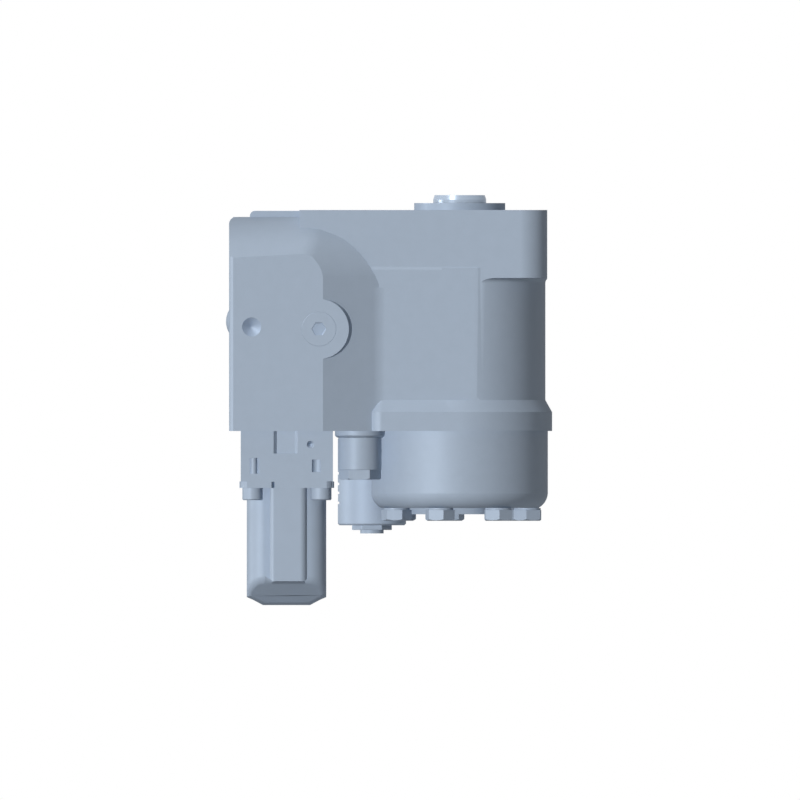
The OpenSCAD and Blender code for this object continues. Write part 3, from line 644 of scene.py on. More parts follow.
class GeometryTree:
    """A Geometry Nodes tree with named inputs, whose result becomes one plain mesh."""

    def __init__(self, name: str) -> None:
        """Makes an empty tree.

        Args:
            name: The tree's name.
        """
        self.group = bpy.data.node_groups.new(name, "GeometryNodeTree")
        socket = {"in_out": "OUTPUT", "socket_type": "NodeSocketGeometry"}
        self.group.interface.new_socket("Geometry", **socket)
        self.entry = self.group.nodes.new("NodeGroupInput")
        self.values: Dict[str, float] = {}

    def size(self, name: str, value: float, kind: str = "NodeSocketFloat") -> Socket:
        """Adds a named input.

        Args:
            name: The input's name.
            value: The value that the piece uses.
            kind: Its socket type.

        Returns:
            The output that carries it inside the tree.
        """
        self.group.interface.new_socket(name, in_out="INPUT", socket_type=kind)
        self.values[name] = value
        return self.entry.outputs[name]

    def node(
        self,
        kind: str,
        settings: Optional[Dict[str, Any]] = None,
        inputs: Optional[Dict[Union[str, int], Any]] = None,
    ) -> bpy.types.Node:
        """Adds a node of any type.

        Args:
            kind: Blender's name of the node type.
            settings: Properties of the node, set before its sockets.
            inputs: Values or links of its sockets, by name or number.

        Returns:
            The new node.
        """
        node = self.group.nodes.new(kind)
        for key, value in (settings or {}).items():
            setattr(node, key, value)
        for key, value in (inputs or {}).items():
            if isinstance(value, Socket):
                self.group.links.new(value, node.inputs[key])
            else:
                node.inputs[key].default_value = value
        return node

    def maths(self, operation: str, first: Any, second: Any = 0.0) -> Socket:
        """Works out one number inside the tree."""
        inputs = {0: first, 1: second}
        return self.node("ShaderNodeMath", {"operation": operation}, inputs).outputs[0]

    def vector(self, x: Any, y: Any, z: Any) -> Socket:
        """Joins three numbers into a vector."""
        return self.node("ShaderNodeCombineXYZ", inputs={"X": x, "Y": y, "Z": z}).outputs[0]

    def moved(self, geometry: Socket, vector: Any, turn: Any = (0, 0, 0)) -> Socket:
        """Moves and turns a geometry."""
        inputs = {"Geometry": geometry, "Translation": vector, "Rotation": turn}
        return self.node("GeometryNodeTransform", inputs=inputs).outputs[0]

    def prism(self, corners: int, radius: Any, height: Any, level: Any, turn: float = 0.0) -> Socket:
        """Makes an upright prism.

        Args:
            corners: Number of its sides.
            radius: Distance of its corners from the axis.
            height: Its height.
            level: Height of its middle.
            turn: Angle of its first corner.

        Returns:
            Its mesh.
        """
        inputs = {"Vertices": corners, "Radius": radius, "Depth": height}
        mesh = self.node("GeometryNodeMeshCylinder", {"fill_type": "NGON"}, inputs).outputs["Mesh"]
        return self.moved(mesh, self.vector(0.0, 0.0, level), (0.0, 0.0, turn))

    def cone(self, low: Any, high: Any, height: Any, level: Any, corners: int = 48) -> Socket:
        """Makes an upright cone.

        Args:
            low: Radius of its lower end.
            high: Radius of its upper end.
            height: Its height.
            level: Height of its foot.
            corners: Number of its sides.

        Returns:
            Its mesh.
        """
        inputs = {"Vertices": corners, "Radius Bottom": low, "Radius Top": high, "Depth": height}
        mesh = self.node("GeometryNodeMeshCone", {"fill_type": "NGON"}, inputs).outputs["Mesh"]
        return self.moved(mesh, self.vector(0.0, 0.0, level))

    def boolean(self, operation: str, first: Socket, others: Sequence[Socket]) -> Socket:
        """Cuts or joins meshes.

        Args:
            operation: DIFFERENCE, INTERSECT or UNION.
            first: The mesh that is cut, or the first of those joined.
            others: The other meshes.

        Returns:
            The result.
        """
        node = self.node("GeometryNodeMeshBoolean", {"operation": operation, "solver": "EXACT"})
        cut = "Mesh 1" if operation == "DIFFERENCE" else "Mesh 2"
        self.group.links.new(first, node.inputs[cut])
        for mesh in others:
            self.group.links.new(mesh, node.inputs["Mesh 2"])
        return node.outputs["Mesh"]

    def joined(self, meshes: Iterable[Socket]) -> Socket:
        """Joins meshes without cutting them.

        Args:
            meshes: The meshes.

        Returns:
            All of them as one.
        """
        node = self.node("GeometryNodeJoinGeometry")
        for mesh in meshes:
            self.group.links.new(mesh, node.inputs[0])
        return node.outputs[0]

    def placed(self, mesh: Socket, points: Socket, turn: Any = (0.0, 0.0, 0.0)) -> Socket:
        """Puts a copy of a mesh at each point.

        Args:
            mesh: The mesh.
            points: The points.
            turn: How each copy is turned.

        Returns:
            The copies.
        """
        rotation = self.node("FunctionNodeEulerToRotation", inputs={0: turn}).outputs[0]
        inputs = {"Points": points, "Instance": mesh, "Rotation": rotation}
        return self.node("GeometryNodeInstanceOnPoints", inputs=inputs).outputs[0]

    def swept(self, path: Socket, radius: Any, sides: int) -> Socket:
        """Makes a round or square bar along a path, closed at its ends.

        Args:
            path: The curve that it follows.
            radius: Distance of its corners from the path.
            sides: Number of its sides.

        Returns:
            Its mesh.
        """
        inputs = {"Resolution": sides, "Radius": radius}
        ring = self.node("GeometryNodeCurvePrimitiveCircle", {"mode": "RADIUS"}, inputs).outputs[0]
        inputs = {"Curve": path, "Profile Curve": ring, "Fill Caps": True}
        return self.node("GeometryNodeCurveToMesh", inputs=inputs).outputs[0]

    def helix(self, radius: Any, height: Any, turns: Any, steps: int) -> Socket:
        """Makes an upright helix from the origin.

        Args:
            radius: Its radius.
            height: Its height.
            turns: Number of its turns.
            steps: Number of points in a turn.

        Returns:
            Its curve.
        """
        inputs = {
            "Resolution": steps,
            "Rotations": turns,
            "Start Radius": radius,
            "End Radius": radius,
            "Height": height,
        }
        return self.node("GeometryNodeCurveSpiral", inputs=inputs).outputs[0]

    def bake(self, geometry: Socket, name: str, material: Material) -> Piece:
        """Ends the tree and makes its result a plain mesh.

        Args:
            geometry: What the tree has made.
            name: The piece's name.
            material: Its finish.

        Returns:
            The piece.
        """
        realized = self.node("GeometryNodeRealizeInstances", inputs={"Geometry": geometry}).outputs[0]
        inputs = {"Geometry": realized, "Material": material}
        dressed = self.node("GeometryNodeSetMaterial", inputs=inputs).outputs[0]
        self.group.links.new(dressed, self.group.nodes.new("NodeGroupOutput").inputs[0])
        carrier = bpy.data.objects.new(name + "_tree", bpy.data.meshes.new(name + "_tree"))
        bpy.context.scene.collection.objects.link(carrier)
        modifier = carrier.modifiers.new("grow", "NODES")
        modifier.node_group = self.group
        for item in self.group.interface.items_tree:
            if item.in_out == "INPUT":
                value = self.values[item.name]
                modifier[item.identifier] = int(value) if item.socket_type == "NodeSocketInt" else value
        graph = bpy.context.evaluated_depsgraph_get()
        mesh = bpy.data.meshes.new_from_object(carrier.evaluated_get(graph), depsgraph=graph)
        carrier.modifiers.remove(modifier)
        bpy.data.objects.remove(carrier)
        mesh.name = name
        piece = bpy.data.objects.new(name, mesh)
        bpy.context.scene.collection.objects.link(piece)
        return finished(piece, material)


def painted(mesh: bpy.types.Mesh, material: Material) -> None:
    """Gives every face of a mesh the same material.

    Args:
        mesh: The mesh.
        material: Its finish.
    """
    mesh.materials.clear()
    mesh.materials.append(material)
    for polygon in mesh.polygons:
        polygon.material_index = 0


def finished(piece: Piece, material: Material, angle: float = 32.0) -> Piece:
    """Gives a piece its material, outward faces and smooth shading on its curves.

    Args:
        piece: The piece.
        material: Its finish.
        angle: Edges sharper than this many degrees stay sharp.

    Returns:
        The same piece.
    """
    painted(piece.data, material)
    work = bmesh.new()
    work.from_mesh(piece.data)
    bmesh.ops.remove_doubles(work, verts=work.verts, dist=MERGE)
    bmesh.ops.recalc_face_normals(work, faces=work.faces)
    work.to_mesh(piece.data)
    work.free()
    piece.data.shade_smooth()
    piece.data.set_sharp_from_angle(angle=math.radians(angle))
    return piece


@dataclass(frozen=True)
class Blend:
    """A wide rounding of bends inside one box, in metres and degrees.

    Without a direction it rounds shallow bends, and with one the border of a wide face that looks that way.
    """

    offset: float
    low: Point
    high: Point
    facing: Optional[Vector] = None
    least: float = 10.0
    most: float = 28.0
    segments: int = 6
    wide: float = (10 * MM) ** 2
    aligned: float = 0.999

    def holds(self, line: bmesh.types.BMEdge) -> bool:
        """Tells whether an edge is one of the bends that are rounded.

        Args:
            line: The edge.

        Returns:
            Whether it is.
        """
        bend = math.degrees(line.calc_face_angle(0.0))
        for end in line.verts:
            if not all(low < at < high for low, at, high in zip(self.low, end.co, self.high)):
                return False
        if bend < self.least:
            return False
        if self.facing is None:
            return bend < self.most
        sides = [face for face in line.link_faces if face.calc_area() > self.wide]
        return any(face.normal.dot(self.facing) > self.aligned for face in sides)


@dataclass(frozen=True)
class EdgeBreak:
    """How far the edges of a copied solid are broken, in metres, and which are, in degrees.

    Bends from the crease to the angle are too flat to be broken and only stay sharp.
    """

    width: float = 0.3 * MM
    angle: float = 33.0
    blends: Tuple[Blend, ...] = ()
    segments: int = 2
    crease: float = 14.0


def applied(piece: Piece) -> None:
    """Turns a piece's modifiers into plain mesh.

    Args:
        piece: The piece.
    """
    graph = bpy.context.evaluated_depsgraph_get()
    mesh = bpy.data.meshes.new_from_object(piece.evaluated_get(graph), depsgraph=graph)
    piece.modifiers.clear()
    mesh.name = piece.name
    piece.data = mesh


def crease(piece: Piece, edge: EdgeBreak) -> None:
    """Keeps sharp the shallow bends between wide faces, which are too flat to be broken.

    Args:
        piece: The piece.
        edge: The bends that count.
    """
    work = bmesh.new()
    work.from_mesh(piece.data)
    for line in work.edges:
        bend = math.degrees(line.calc_face_angle(0.0))
        if edge.crease < bend < edge.angle:
            # A strip beside a broken edge is narrower than two of its widths
            strip = 2 * edge.width * line.calc_length()
            line.smooth = min(face.calc_area() for face in line.link_faces) < strip
    work.to_mesh(piece.data)
    work.free()


def straighten(piece: Piece, edge: EdgeBreak) -> None:
    """Turns the corner normals of wide faces back to their own side where a bend ends at a broken edge.

    Args:
        piece: The piece, its bends marked sharp.
        edge: The bends that count.
    """
    mesh = piece.data
    ends = {vertex for line in mesh.edges if line.use_edge_sharp for vertex in line.vertices}
    around: Dict[int, List[Tuple[Vector, float]]] = {vertex: [] for vertex in ends}
    for face in mesh.polygons:
        for vertex in ends.intersection(face.vertices):
            around[vertex].append((face.normal.copy(), face.area))
    normals = [corner.vector.copy() for corner in mesh.corner_normals]
    # A wide face is more than ten broken edges across
    wide = (10 * edge.width) ** 2
    for face in mesh.polygons:
        if face.area < wide:
            continue
        for corner in face.loop_indices:
            vertex = mesh.loops[corner].vertex_index
            if vertex in ends:
                side = Vector()
                for turn, area in around[vertex]:
                    if turn.angle(face.normal, 0.0) < math.radians(edge.crease):
                        side += turn * area
                normals[corner] = side.normalized()
    mesh.normals_split_custom_set(normals)


def merged(piece: Piece, blends: Iterable[Blend]) -> None:
    """Merges a copied solid's loose triangles into wide faces, and rounds its wide bends.

    Args:
        piece: The copy.
        blends: The roundings.
    """
    work = bmesh.new()
    work.from_mesh(piece.data)
    bmesh.ops.remove_doubles(work, verts=work.verts, dist=2 * MERGE)
    bmesh.ops.dissolve_degenerate(work, edges=work.edges, dist=MERGE)
    level = math.radians(0.4)
    bmesh.ops.dissolve_limit(work, angle_limit=level, verts=work.verts, edges=work.edges)
    for blend in blends:
        bends = [line for line in work.edges if blend.holds(line)]
        bmesh.ops.bevel(
            work, geom=bends, offset=blend.offset, segments=blend.segments, profile=0.5, affect="EDGES"
        )
    for face in work.faces:
        face.smooth = True
    work.to_mesh(piece.data)
    work.free()
    if "custom_normal" in piece.data.attributes:
        piece.data.attributes.remove(piece.data.attributes["custom_normal"])


def broken_copy(node: str, name: str, material: Material, edge: EdgeBreak) -> Piece:
    """Copies a CAD node's mesh, merges it and breaks its edges.

    Args:
        node: The CAD node.
        name: The new piece's name.
        material: Its finish.
        edge: How its edges are broken.

    Returns:
        The piece, which replaces the node but rides on nothing yet.
    """
    piece = bpy.data.objects.new(name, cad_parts[node].data.copy())
    piece.data.name = name
    bpy.context.scene.collection.objects.link(piece)
    merged(piece, edge.blends)
    painted(piece.data, material)
    bevel = piece.modifiers.new("edge", "BEVEL")
    bevel.width = edge.width
    bevel.segments = edge.segments
    bevel.limit_method = "ANGLE"
    bevel.angle_limit = math.radians(edge.angle)
    bevel.miter_outer = "MITER_ARC"
    applied(piece)
    crease(piece, edge)
    even = piece.modifiers.new("even", "WEIGHTED_NORMAL")
    even.keep_sharp = True
    applied(piece)
    straighten(piece, edge)
    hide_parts(node)
    return piece


def rounded(piece: Piece, centre: Vector, radius: float) -> Piece:
    """Gives the upright round wall of a piece its true normals, also where small ribs break it up.

    Args:
        piece: The piece.
        centre: A point on the wall's axis.
        radius: The wall's radius.

    Returns:
        The same piece.
    """
    mesh = piece.data
    normals = [corner.vector.copy() for corner in mesh.corner_normals]
    reach = 0.25 * MM
    aligned = 0.97
    for face in mesh.polygons:
        middle = (face.center - centre).to_2d()
        outward = face.normal.dot(middle.normalized().to_3d()) > aligned
        if outward and abs(middle.length - radius) < reach:
            for corner, vertex in zip(face.loop_indices, face.vertices):
                normals[corner] = (mesh.vertices[vertex].co - centre).to_2d().normalized().to_3d()
    mesh.normals_split_custom_set(normals)
    return piece


def carried(piece: Piece, body: str) -> Piece:
    """Puts a piece on its body and logs it.

    Args:
        piece: The piece.
        body: The CAD body that it rides on.

    Returns:
        The same piece.
    """
    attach(piece, body)
    LOG.info("%s: %d faces on %s", piece.name, len(piece.data.polygons), body)
    return piece


def dressed(material: Material, nodes: Sequence[str]) -> None:
    """Gives CAD nodes that keep their own shape a finish.

    Args:
        material: The finish.
        nodes: The nodes.
    """
    for node in nodes:
        painted(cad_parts[node].data, material)
        LOG.info("%s: dressed as %s", node, material.name)


@dataclass(frozen=True)
class ThreadSize:
    """A thread cut into a bore, and how far inside the bore's mouth it starts."""

    radius: float
    pitch: float
    length: float
    recess: float = 1 * MM
    steps: int = 40
    sides: int = 4


@dataclass
class Coil:
    """A compression spring of round wire, in the place of its CAD node."""

    node: str
    name: str
    wire: float
    turns: float
    along: Axis = Axis.Z
    slot: str = "spring_steel"
    steps: int = 32
    sides: int = 12

    def wound(self, material: Material) -> Piece:
        """Winds the spring.

        Args:
            material: Its finish.

        Returns:
            The piece, which replaces the node but rides on nothing yet.
        """
        low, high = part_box(self.node)
        span = high - low
        tree = GeometryTree(self.name)
        wire = tree.size("Wire Radius", self.wire)
        radius = tree.size("Coil Radius", span.x / 2 - self.wire)
        height = tree.size("Height", span[self.along.value] - 2 * self.wire)
        turns = tree.size("Turns", self.turns)
        spring = tree.swept(tree.helix(radius, height, turns, self.steps), wire, self.sides)
        foot = (low + high) / 2
        upright = self.along is Axis.Z
        foot[self.along.value] = low.z + self.wire if upright else high.y - self.wire
        turn = (0.0, 0.0, 0.0) if upright else (math.pi / 2, 0.0, 0.0)
        piece = tree.bake(tree.moved(spring, tuple(foot), turn), self.name, material)
        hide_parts(self.node)
        return piece

    def pressed(self, material: Material) -> None:
        """Winds the spring and puts it on the housing.

        Args:
            material: Its finish.
        """
        low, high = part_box(self.node)
        piece = carried(self.wound(material), "housing")
        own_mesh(piece)

    def between(self, material: Material, body: str) -> None:
        """Winds the spring in its node's place and bakes its transform.

        Args:
            material: Its finish.
            body: The sliding body.
        """
        low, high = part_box(self.node)
        piece = self.wound(material)
        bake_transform(piece)
        LOG.info("%s: %d faces between housing and %s", piece.name, len(piece.data.polygons), body)


def thread_piece(
    name: str, size: ThreadSize, mouths: Sequence[Point], turn: Point, material: Material
) -> Piece:
    """Winds the ridges of a thread in each of several equal bores.

    Args:
        name: The piece's name.
        size: The thread.
        mouths: Where the thread starts in each bore, to run inward from there.
        turn: Rotation that lays the upright thread along the bore.
        material: Its finish.

    Returns:
        The piece.
    """
    tree = GeometryTree(name)
    radius = tree.size("Radius", size.radius)
    pitch = tree.size("Pitch", size.pitch)
    length = tree.size("Length", size.length)
    helix = tree.helix(radius, length, tree.maths("DIVIDE", length, pitch), size.steps)
    path = tree.node("GeometryNodeSetCurveNormal", inputs={"Curve": helix}).outputs[0]
    ridge = tree.swept(path, tree.maths("MULTIPLY", pitch, 0.5), size.sides)
    return tree.bake(tree.joined(tree.moved(ridge, mouth, turn) for mouth in mouths), name, material)


CASTING = CastPaint(
    "painted_casting",
    milled=(
        MilledFace(Axis.Y, 61.93 * MM),
        MilledFace(Axis.Z, -0.04 * MM),
        MilledFace(Axis.Z, -108.26 * MM, above=False),
    ),
)
MANIFOLD = CastPaint("pilot_casting", grain=1900.0, cloud=240.0, depth=0.014 * MM)
GEAR_CASE = Turned("turned_gear_case")
# The spool's end is the slate made 20 % lighter: its gloss and metal are real ground steel, and the lighter
# colour is a painted highlight on its end
SPOOL_END_PAINTED_HIGHLIGHT = Turned("ground_spool_end_painted_highlight", colour=shade(SLATE, 1.2), roughness=0.25, metallic=0.5)
PLATED = Brushed("plated_fastener", marks=2400.0)
CASE = Moulded("moulded_case")
# The coil's case is the slate made 12 % lighter, a painted highlight standing in for brighter light on its
# round flank; its moulded grain is real
COIL_CASE_PAINTED_HIGHLIGHT = Moulded("moulded_coil_painted_highlight", colour=shade(SLATE, 1.12), grain=1700.0, depth=0.02 * MM)
# What follows the name is colour, roughness, metallic and specular
GROUND = Brushed("ground_steel", STEEL, 0.28, 1.0, 0.5)
HARDENED = Turned("turned_steel", STEEL, 0.25, 1.0, 0.5)
SPRING = Brushed("spring_steel", (0.16, 0.165, 0.175, 1.0), 0.38, 1.0, 0.5)
TINNED = Brushed("tinned_pin", (0.62, 0.61, 0.57, 1.0), 0.3, 1.0, 0.5)
COPPER = Wound("copper_winding", (0.60, 0.26, 0.12, 1.0), 0.3, 1.0, 0.5)
SOCKETS = Moulded("connector_plastic", (0.022, 0.023, 0.025, 1.0), 0.5, 0.0, 0.4)
SEALING = Rubber("sealing_rubber", (0.018, 0.018, 0.02, 1.0), 0.7, 0.0, 0.3)
BOARD = Laminate("circuit_board_laminate", (0.03, 0.13, 0.06, 1.0), 0.4, 0.0, 0.5, spread=0.2)
FLOOR = PlainFloor("pale_floor", (0.45, 0.45, 0.45, 1.0), 0.9, 0.0, 0.2, spread=0.004)


@dataclass
class Workshop:
    """The finishes of one build, each made once."""

    made: Dict[str, Material] = field(default_factory=dict)

    def get(self, finish: Finish) -> Material:
        """Makes a finish's material, or finds it.

        Args:
            finish: The finish.

        Returns:
            Its material.
        """
        if finish.name not in self.made:
            self.made[finish.name] = finish.build()
        return self.made[finish.name]

    def show(
        self, node: str, name: str, finish: Finish, edge: EdgeBreak, slot: str, body: str = "housing"
    ) -> None:
        """Shows a CAD solid by a copy of it with broken edges, on its body.

        Args:
            node: The CAD node.
            name: The new piece's name.
            finish: Its finish.
            edge: How its edges are broken.
            slot: Not used.
            body: The CAD body that it rides on.
        """
        carried(broken_copy(node, name, self.get(finish), edge), body)

    def dress(self, finish: Finish, *nodes: str) -> None:
        """Gives CAD nodes that keep their own shape a finish."""
        dressed(self.get(finish), nodes)


@dataclass
class SteeringUnit:
    """The casting with its rotary valve, gear set and cover.

    On the casting and the cover, bends over the shallow angle in degrees are broken. The chamfer of a
    bolt's head leaves a round face, and bolt_face is that face's radius as a share of the flats.
    """

    shop: Workshop
    shoulder: Blend = Blend(3.5 * MM, (-74 * MM, -51.5 * MM, -22 * MM), (-70 * MM, -40 * MM, -8 * MM))
    barrel: Blend = Blend(1.6 * MM, (8 * MM, -41.5 * MM, -93.5 * MM), (9.2 * MM, -40.7 * MM, -28 * MM))
    washer_edge: float = 0.12 * MM
    spool_edge: float = 0.15 * MM
    casting_edge: float = 0.3 * MM
    cover_edge: float = 0.35 * MM
    shallow: float = 28.0
    bolt_count: int = 7
    bolt_circle: float = 33.3 * MM
    bolt_phase: float = math.radians(-4)
    bolt_flats: float = 13 * MM
    bolt_head: float = 5.3 * MM
    bolt_face: float = 0.468
    bolt_shank: float = 4 * MM
    port_face: float = 62 * MM
    port_side: float = 14 * MM
    port_levels: Tuple[float, float] = (-30 * MM, -72 * MM)
    port_thread: ThreadSize = ThreadSize(10.45 * MM, 1.814 * MM, 12.4 * MM, 1.6 * MM)
    sense_port: Tuple[float, float] = (-58 * MM, -40 * MM)
    sense_thread: ThreadSize = ThreadSize(6.55 * MM, 1.337 * MM, 9.6 * MM)
    column_pitch: float = 58.37 * MM
    column_thread: ThreadSize = ThreadSize(5 * MM, 1.5 * MM, 13.5 * MM)

    def build(self) -> None:
        """Builds and dresses the steering unit."""
        self.housing()
        self.gear_set()
        self.cover_bolts()
        self.threads()
        self.inside()

    def housing(self) -> None:
        """Shows the casting with its edges broken, and with its shoulder and barrel softly rounded."""
        edge = EdgeBreak(self.casting_edge, self.shallow, (self.shoulder, self.barrel))
        self.shop.show("body", "housing_casting", CASTING, edge, "casting")

    def gear_set(self) -> None:
        """Shows the cover and its washers, and dresses the plates round the gear set."""
        cover, washer = EdgeBreak(self.cover_edge, self.shallow), EdgeBreak(self.washer_edge)
        self.shop.show("end_cover", "cover_plate", GEAR_CASE, cover, "painted_steel")
        self.shop.show("screw_washers", "washers", PLATED, washer, "fastener")
        self.shop.dress(GEAR_CASE, "distributor_plate", "gear_ring")

    def cover_bolts(self) -> None:
        """Grows the chamfered hexagon bolts that hold the cover."""
        low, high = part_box("cover_screws")
        tree = GeometryTree("cover_bolts")
        count = tree.size("Count", self.bolt_count, "NodeSocketInt")
        circle = tree.size("Bolt Circle", self.bolt_circle)
        phase = tree.size("Phase", self.bolt_phase)
        flats = tree.size("Across Flats", self.bolt_flats)
        head = tree.size("Head Height", self.bolt_head)
        shank = tree.size("Shank Radius", self.bolt_shank)
        corner = tree.maths("DIVIDE", flats, math.sqrt(3))
        middle = tree.maths("ADD", tree.maths("MULTIPLY", head, 0.5), low.z)
        prism = tree.prism(6, corner, head, middle, math.radians(30))
        face = tree.maths("MULTIPLY", flats, self.bolt_face)
        wide = tree.maths("ADD", face, tree.maths("MULTIPLY", head, math.sqrt(3)))
        chamfer = tree.cone(face, wide, head, low.z)
        stem_foot = low.z + self.bolt_head / 2
        stem = tree.prism(32, shank, high.z - stem_foot, (high.z + stem_foot) / 2)
        bolt = tree.boolean("UNION", tree.boolean("INTERSECT", prism, [chamfer]), [stem])
        points = tree.node("GeometryNodePoints", inputs={"Count": count}).outputs[0]
        index = tree.node("GeometryNodeInputIndex").outputs[0]
        angle = tree.maths("ADD", tree.maths("MULTIPLY", index, 2 * math.pi / self.bolt_count), phase)
        across = tree.maths("MULTIPLY", tree.maths("COSINE", angle), circle)
        along = tree.maths("MULTIPLY", tree.maths("SINE", angle), circle)
        inputs = {"Geometry": points, "Position": tree.vector(across, along, 0.0)}
        spots = tree.node("GeometryNodeSetPosition", inputs=inputs).outputs[0]
        placed = tree.placed(bolt, spots, tree.vector(0.0, 0.0, angle))
        piece = tree.bake(placed, "cover_bolts", self.shop.get(PLATED))
        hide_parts("cover_screws")
        carried(piece, "housing")

    def threads(self) -> None:
        """Winds the threads of the ports and of the column's bolt holes."""
        forward = (math.pi / 2, 0.0, 0.0)
        down = (math.pi, 0.0, 0.0)
        rear = self.port_face - self.port_thread.recess
        ports = [(x * self.port_side, rear, z) for x in (-1, 1) for z in self.port_levels]
        sense = [(self.sense_port[0], self.port_face - self.sense_thread.recess, self.sense_port[1])]
        half = self.column_pitch / 2
        column = [(x * half, y * half, -self.column_thread.recess) for x in (-1, 1) for y in (-1, 1)]
        for name, size, mouths, turn in (
            ("port_threads", self.port_thread, ports, forward),
            ("sense_port_thread", self.sense_thread, sense, forward),
            ("column_threads", self.column_thread, column, down),
        ):
            carried(thread_piece(name, size, mouths, turn, self.shop.get(CASTING)), "housing")

    def inside(self) -> None:
        """Shows the spool's end and dresses what the casting hides."""
        edge = EdgeBreak(self.spool_edge)
        self.shop.show("spool", "splined_spool", SPOOL_END_PAINTED_HIGHLIGHT, edge, "machined_steel", "spool_group")
        self.shop.dress(HARDENED, "sleeve", "bearing_race_upper", "bearing_race_lower")
        self.shop.dress(HARDENED, "check_ball", "check_bushing", "gear_star", "spacer_disc")
        self.shop.dress(GROUND, "cross_pin", "cardan_shaft", "needle_cage")
        self.shop.dress(SPRING, "centring_springs")
        self.shop.dress(SEALING, "dust_seal", "shaft_seal", "cover_seals")


@dataclass
class ValveBlock:
    """The plugs, the main control spool and the relief valve of the valve block."""

    shop: Workshop
    plug_edge: float = 0.2 * MM
    relief_wire: float = 0.7 * MM
    relief_turns: int = 4
    relief_travel: float = 2 * MM
    control_wire: float = 0.8 * MM
    control_turns: int = 4

    def build(self) -> None:
        """Builds and dresses the block's own parts."""
        edge = EdgeBreak(self.plug_edge)
        self.shop.show("relief_plug", "front_plug", PLATED, edge, "fastener")
        self.shop.show("side_plug", "domed_plug", PLATED, edge, "fastener")
        self.shop.show("top_plug", "spool_plug", PLATED, edge, "fastener")
        self.shop.dress(HARDENED, "relief_seat", "relief_poppet", "control_spool")
        self.shop.dress(GROUND, "spring_seat", "position_rod")
        self.springs()

    def springs(self) -> None:
        """Winds the relief valve's spring and the two that centre the control spool."""
        steel = self.shop.get(SPRING)
        relief = Coil("relief_spring", "relief_coil", self.relief_wire, self.relief_turns, Axis.Y)
        relief.pressed(steel)
        upper = Coil("control_spring_upper", "upper_coil", self.control_wire, self.control_turns)
        upper.between(steel, "control")
        lower = Coil("control_spring_lower", "lower_coil", self.control_wire, self.control_turns)
        lower.between(steel, "control")


@dataclass
class PilotUnit:
    """The pilot block and the electronics housing that hang under the valve block.

    On the housing, bends over the shallow angle in degrees are broken. The chamfer of a screw's head
    leaves a round face, and head_face is that face's radius as a share of the head's.
    """

    shop: Workshop
    block_edge: float = 0.2 * MM
    socket_edge: float = 0.3 * MM
    case_edge: float = 0.4 * MM
    shallow: float = 26.0
    end_round: float = 2.5 * MM
    end_height: float = 13 * MM
    end_facing: Point = (0.0, -11.8, -14.2)
    screw_low: Tuple[float, float] = (-101.5 * MM, -40.6 * MM)
    screw_high: Tuple[float, float] = (-67.8 * MM, -15.6 * MM)
    head_radius: float = 5 * MM
    head_height: float = 6 * MM
    head_face: float = 0.9
    shank_radius: float = 3 * MM
    socket_flats: float = 5 * MM
    socket_depth: float = 3 * MM

    def build(self) -> None:
        """Builds and dresses the pilot unit."""
        self.shop.show("pilot_block", "pilot_manifold", MANIFOLD, EdgeBreak(self.block_edge), "block")
        self.electronics()
        self.shop.show("connectors", "cable_sockets", SOCKETS, EdgeBreak(self.socket_edge), "connector")
        self.cap_screws()
        self.shop.dress(TINNED, "connector_pins")
        self.shop.dress(COPPER, "sensor_coil")
        self.shop.dress(GROUND, "sensor_tube")
        self.shop.dress(BOARD, "circuit_board")

    def electronics(self) -> None:
        """Shows the electronics housing with its slanted end softly rounded."""
        low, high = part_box("electronics_housing")
        below = (low.x - MM, low.y, low.z - MM)
        above = (high.x + MM, high.y, low.z + self.end_height)
        end = Blend(self.end_round, below, above, Vector(self.end_facing).normalized())
        edge = EdgeBreak(self.case_edge, self.shallow, (end,))
        self.shop.show("electronics_housing", "electronics_case", CASE, edge, "unit_cover")

    def cap_screws(self) -> None:
        """Grows the four socket-head screws."""
        low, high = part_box("pilot_screws")
        tree = GeometryTree("cap_screws")
        radius = tree.size("Head Radius", self.head_radius)
        head = tree.size("Head Height", self.head_height)
        shank = tree.size("Shank Radius", self.shank_radius)
        flats = tree.size("Socket Flats", self.socket_flats)
        depth = tree.size("Socket Depth", self.socket_depth)
        body = tree.prism(64, radius, head, tree.maths("ADD", tree.maths("MULTIPLY", head, 0.5), low.z))
        rim = tree.maths("MULTIPLY", radius, self.head_face)
        wide = tree.maths("ADD", rim, head)
        chamfered = tree.boolean("INTERSECT", body, [tree.cone(rim, wide, head, low.z)])
        stem_foot = low.z + (self.head_height + self.socket_depth) / 2
        stem = tree.prism(32, shank, high.z - stem_foot, (high.z + stem_foot) / 2)
        solid = tree.boolean("UNION", chamfered, [stem])
        corner = tree.maths("DIVIDE", flats, math.sqrt(3))
        key = tree.prism(6, corner, tree.maths("MULTIPLY", depth, 2.0), low.z)
        screw = tree.boolean("DIFFERENCE", solid, [key])
        (west, front), (east, rear) = self.screw_low, self.screw_high
        inputs = {"Size X": east - west, "Size Y": rear - front, "Vertices X": 2, "Vertices Y": 2}
        grid = tree.node("GeometryNodeMeshGrid", inputs=inputs).outputs["Mesh"]
        placed = tree.placed(screw, tree.moved(grid, ((west + east) / 2, (front + rear) / 2, 0.0)))
        piece = tree.bake(placed, "cap_screws", self.shop.get(PLATED))
        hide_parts("pilot_screws")
        carried(piece, "housing")


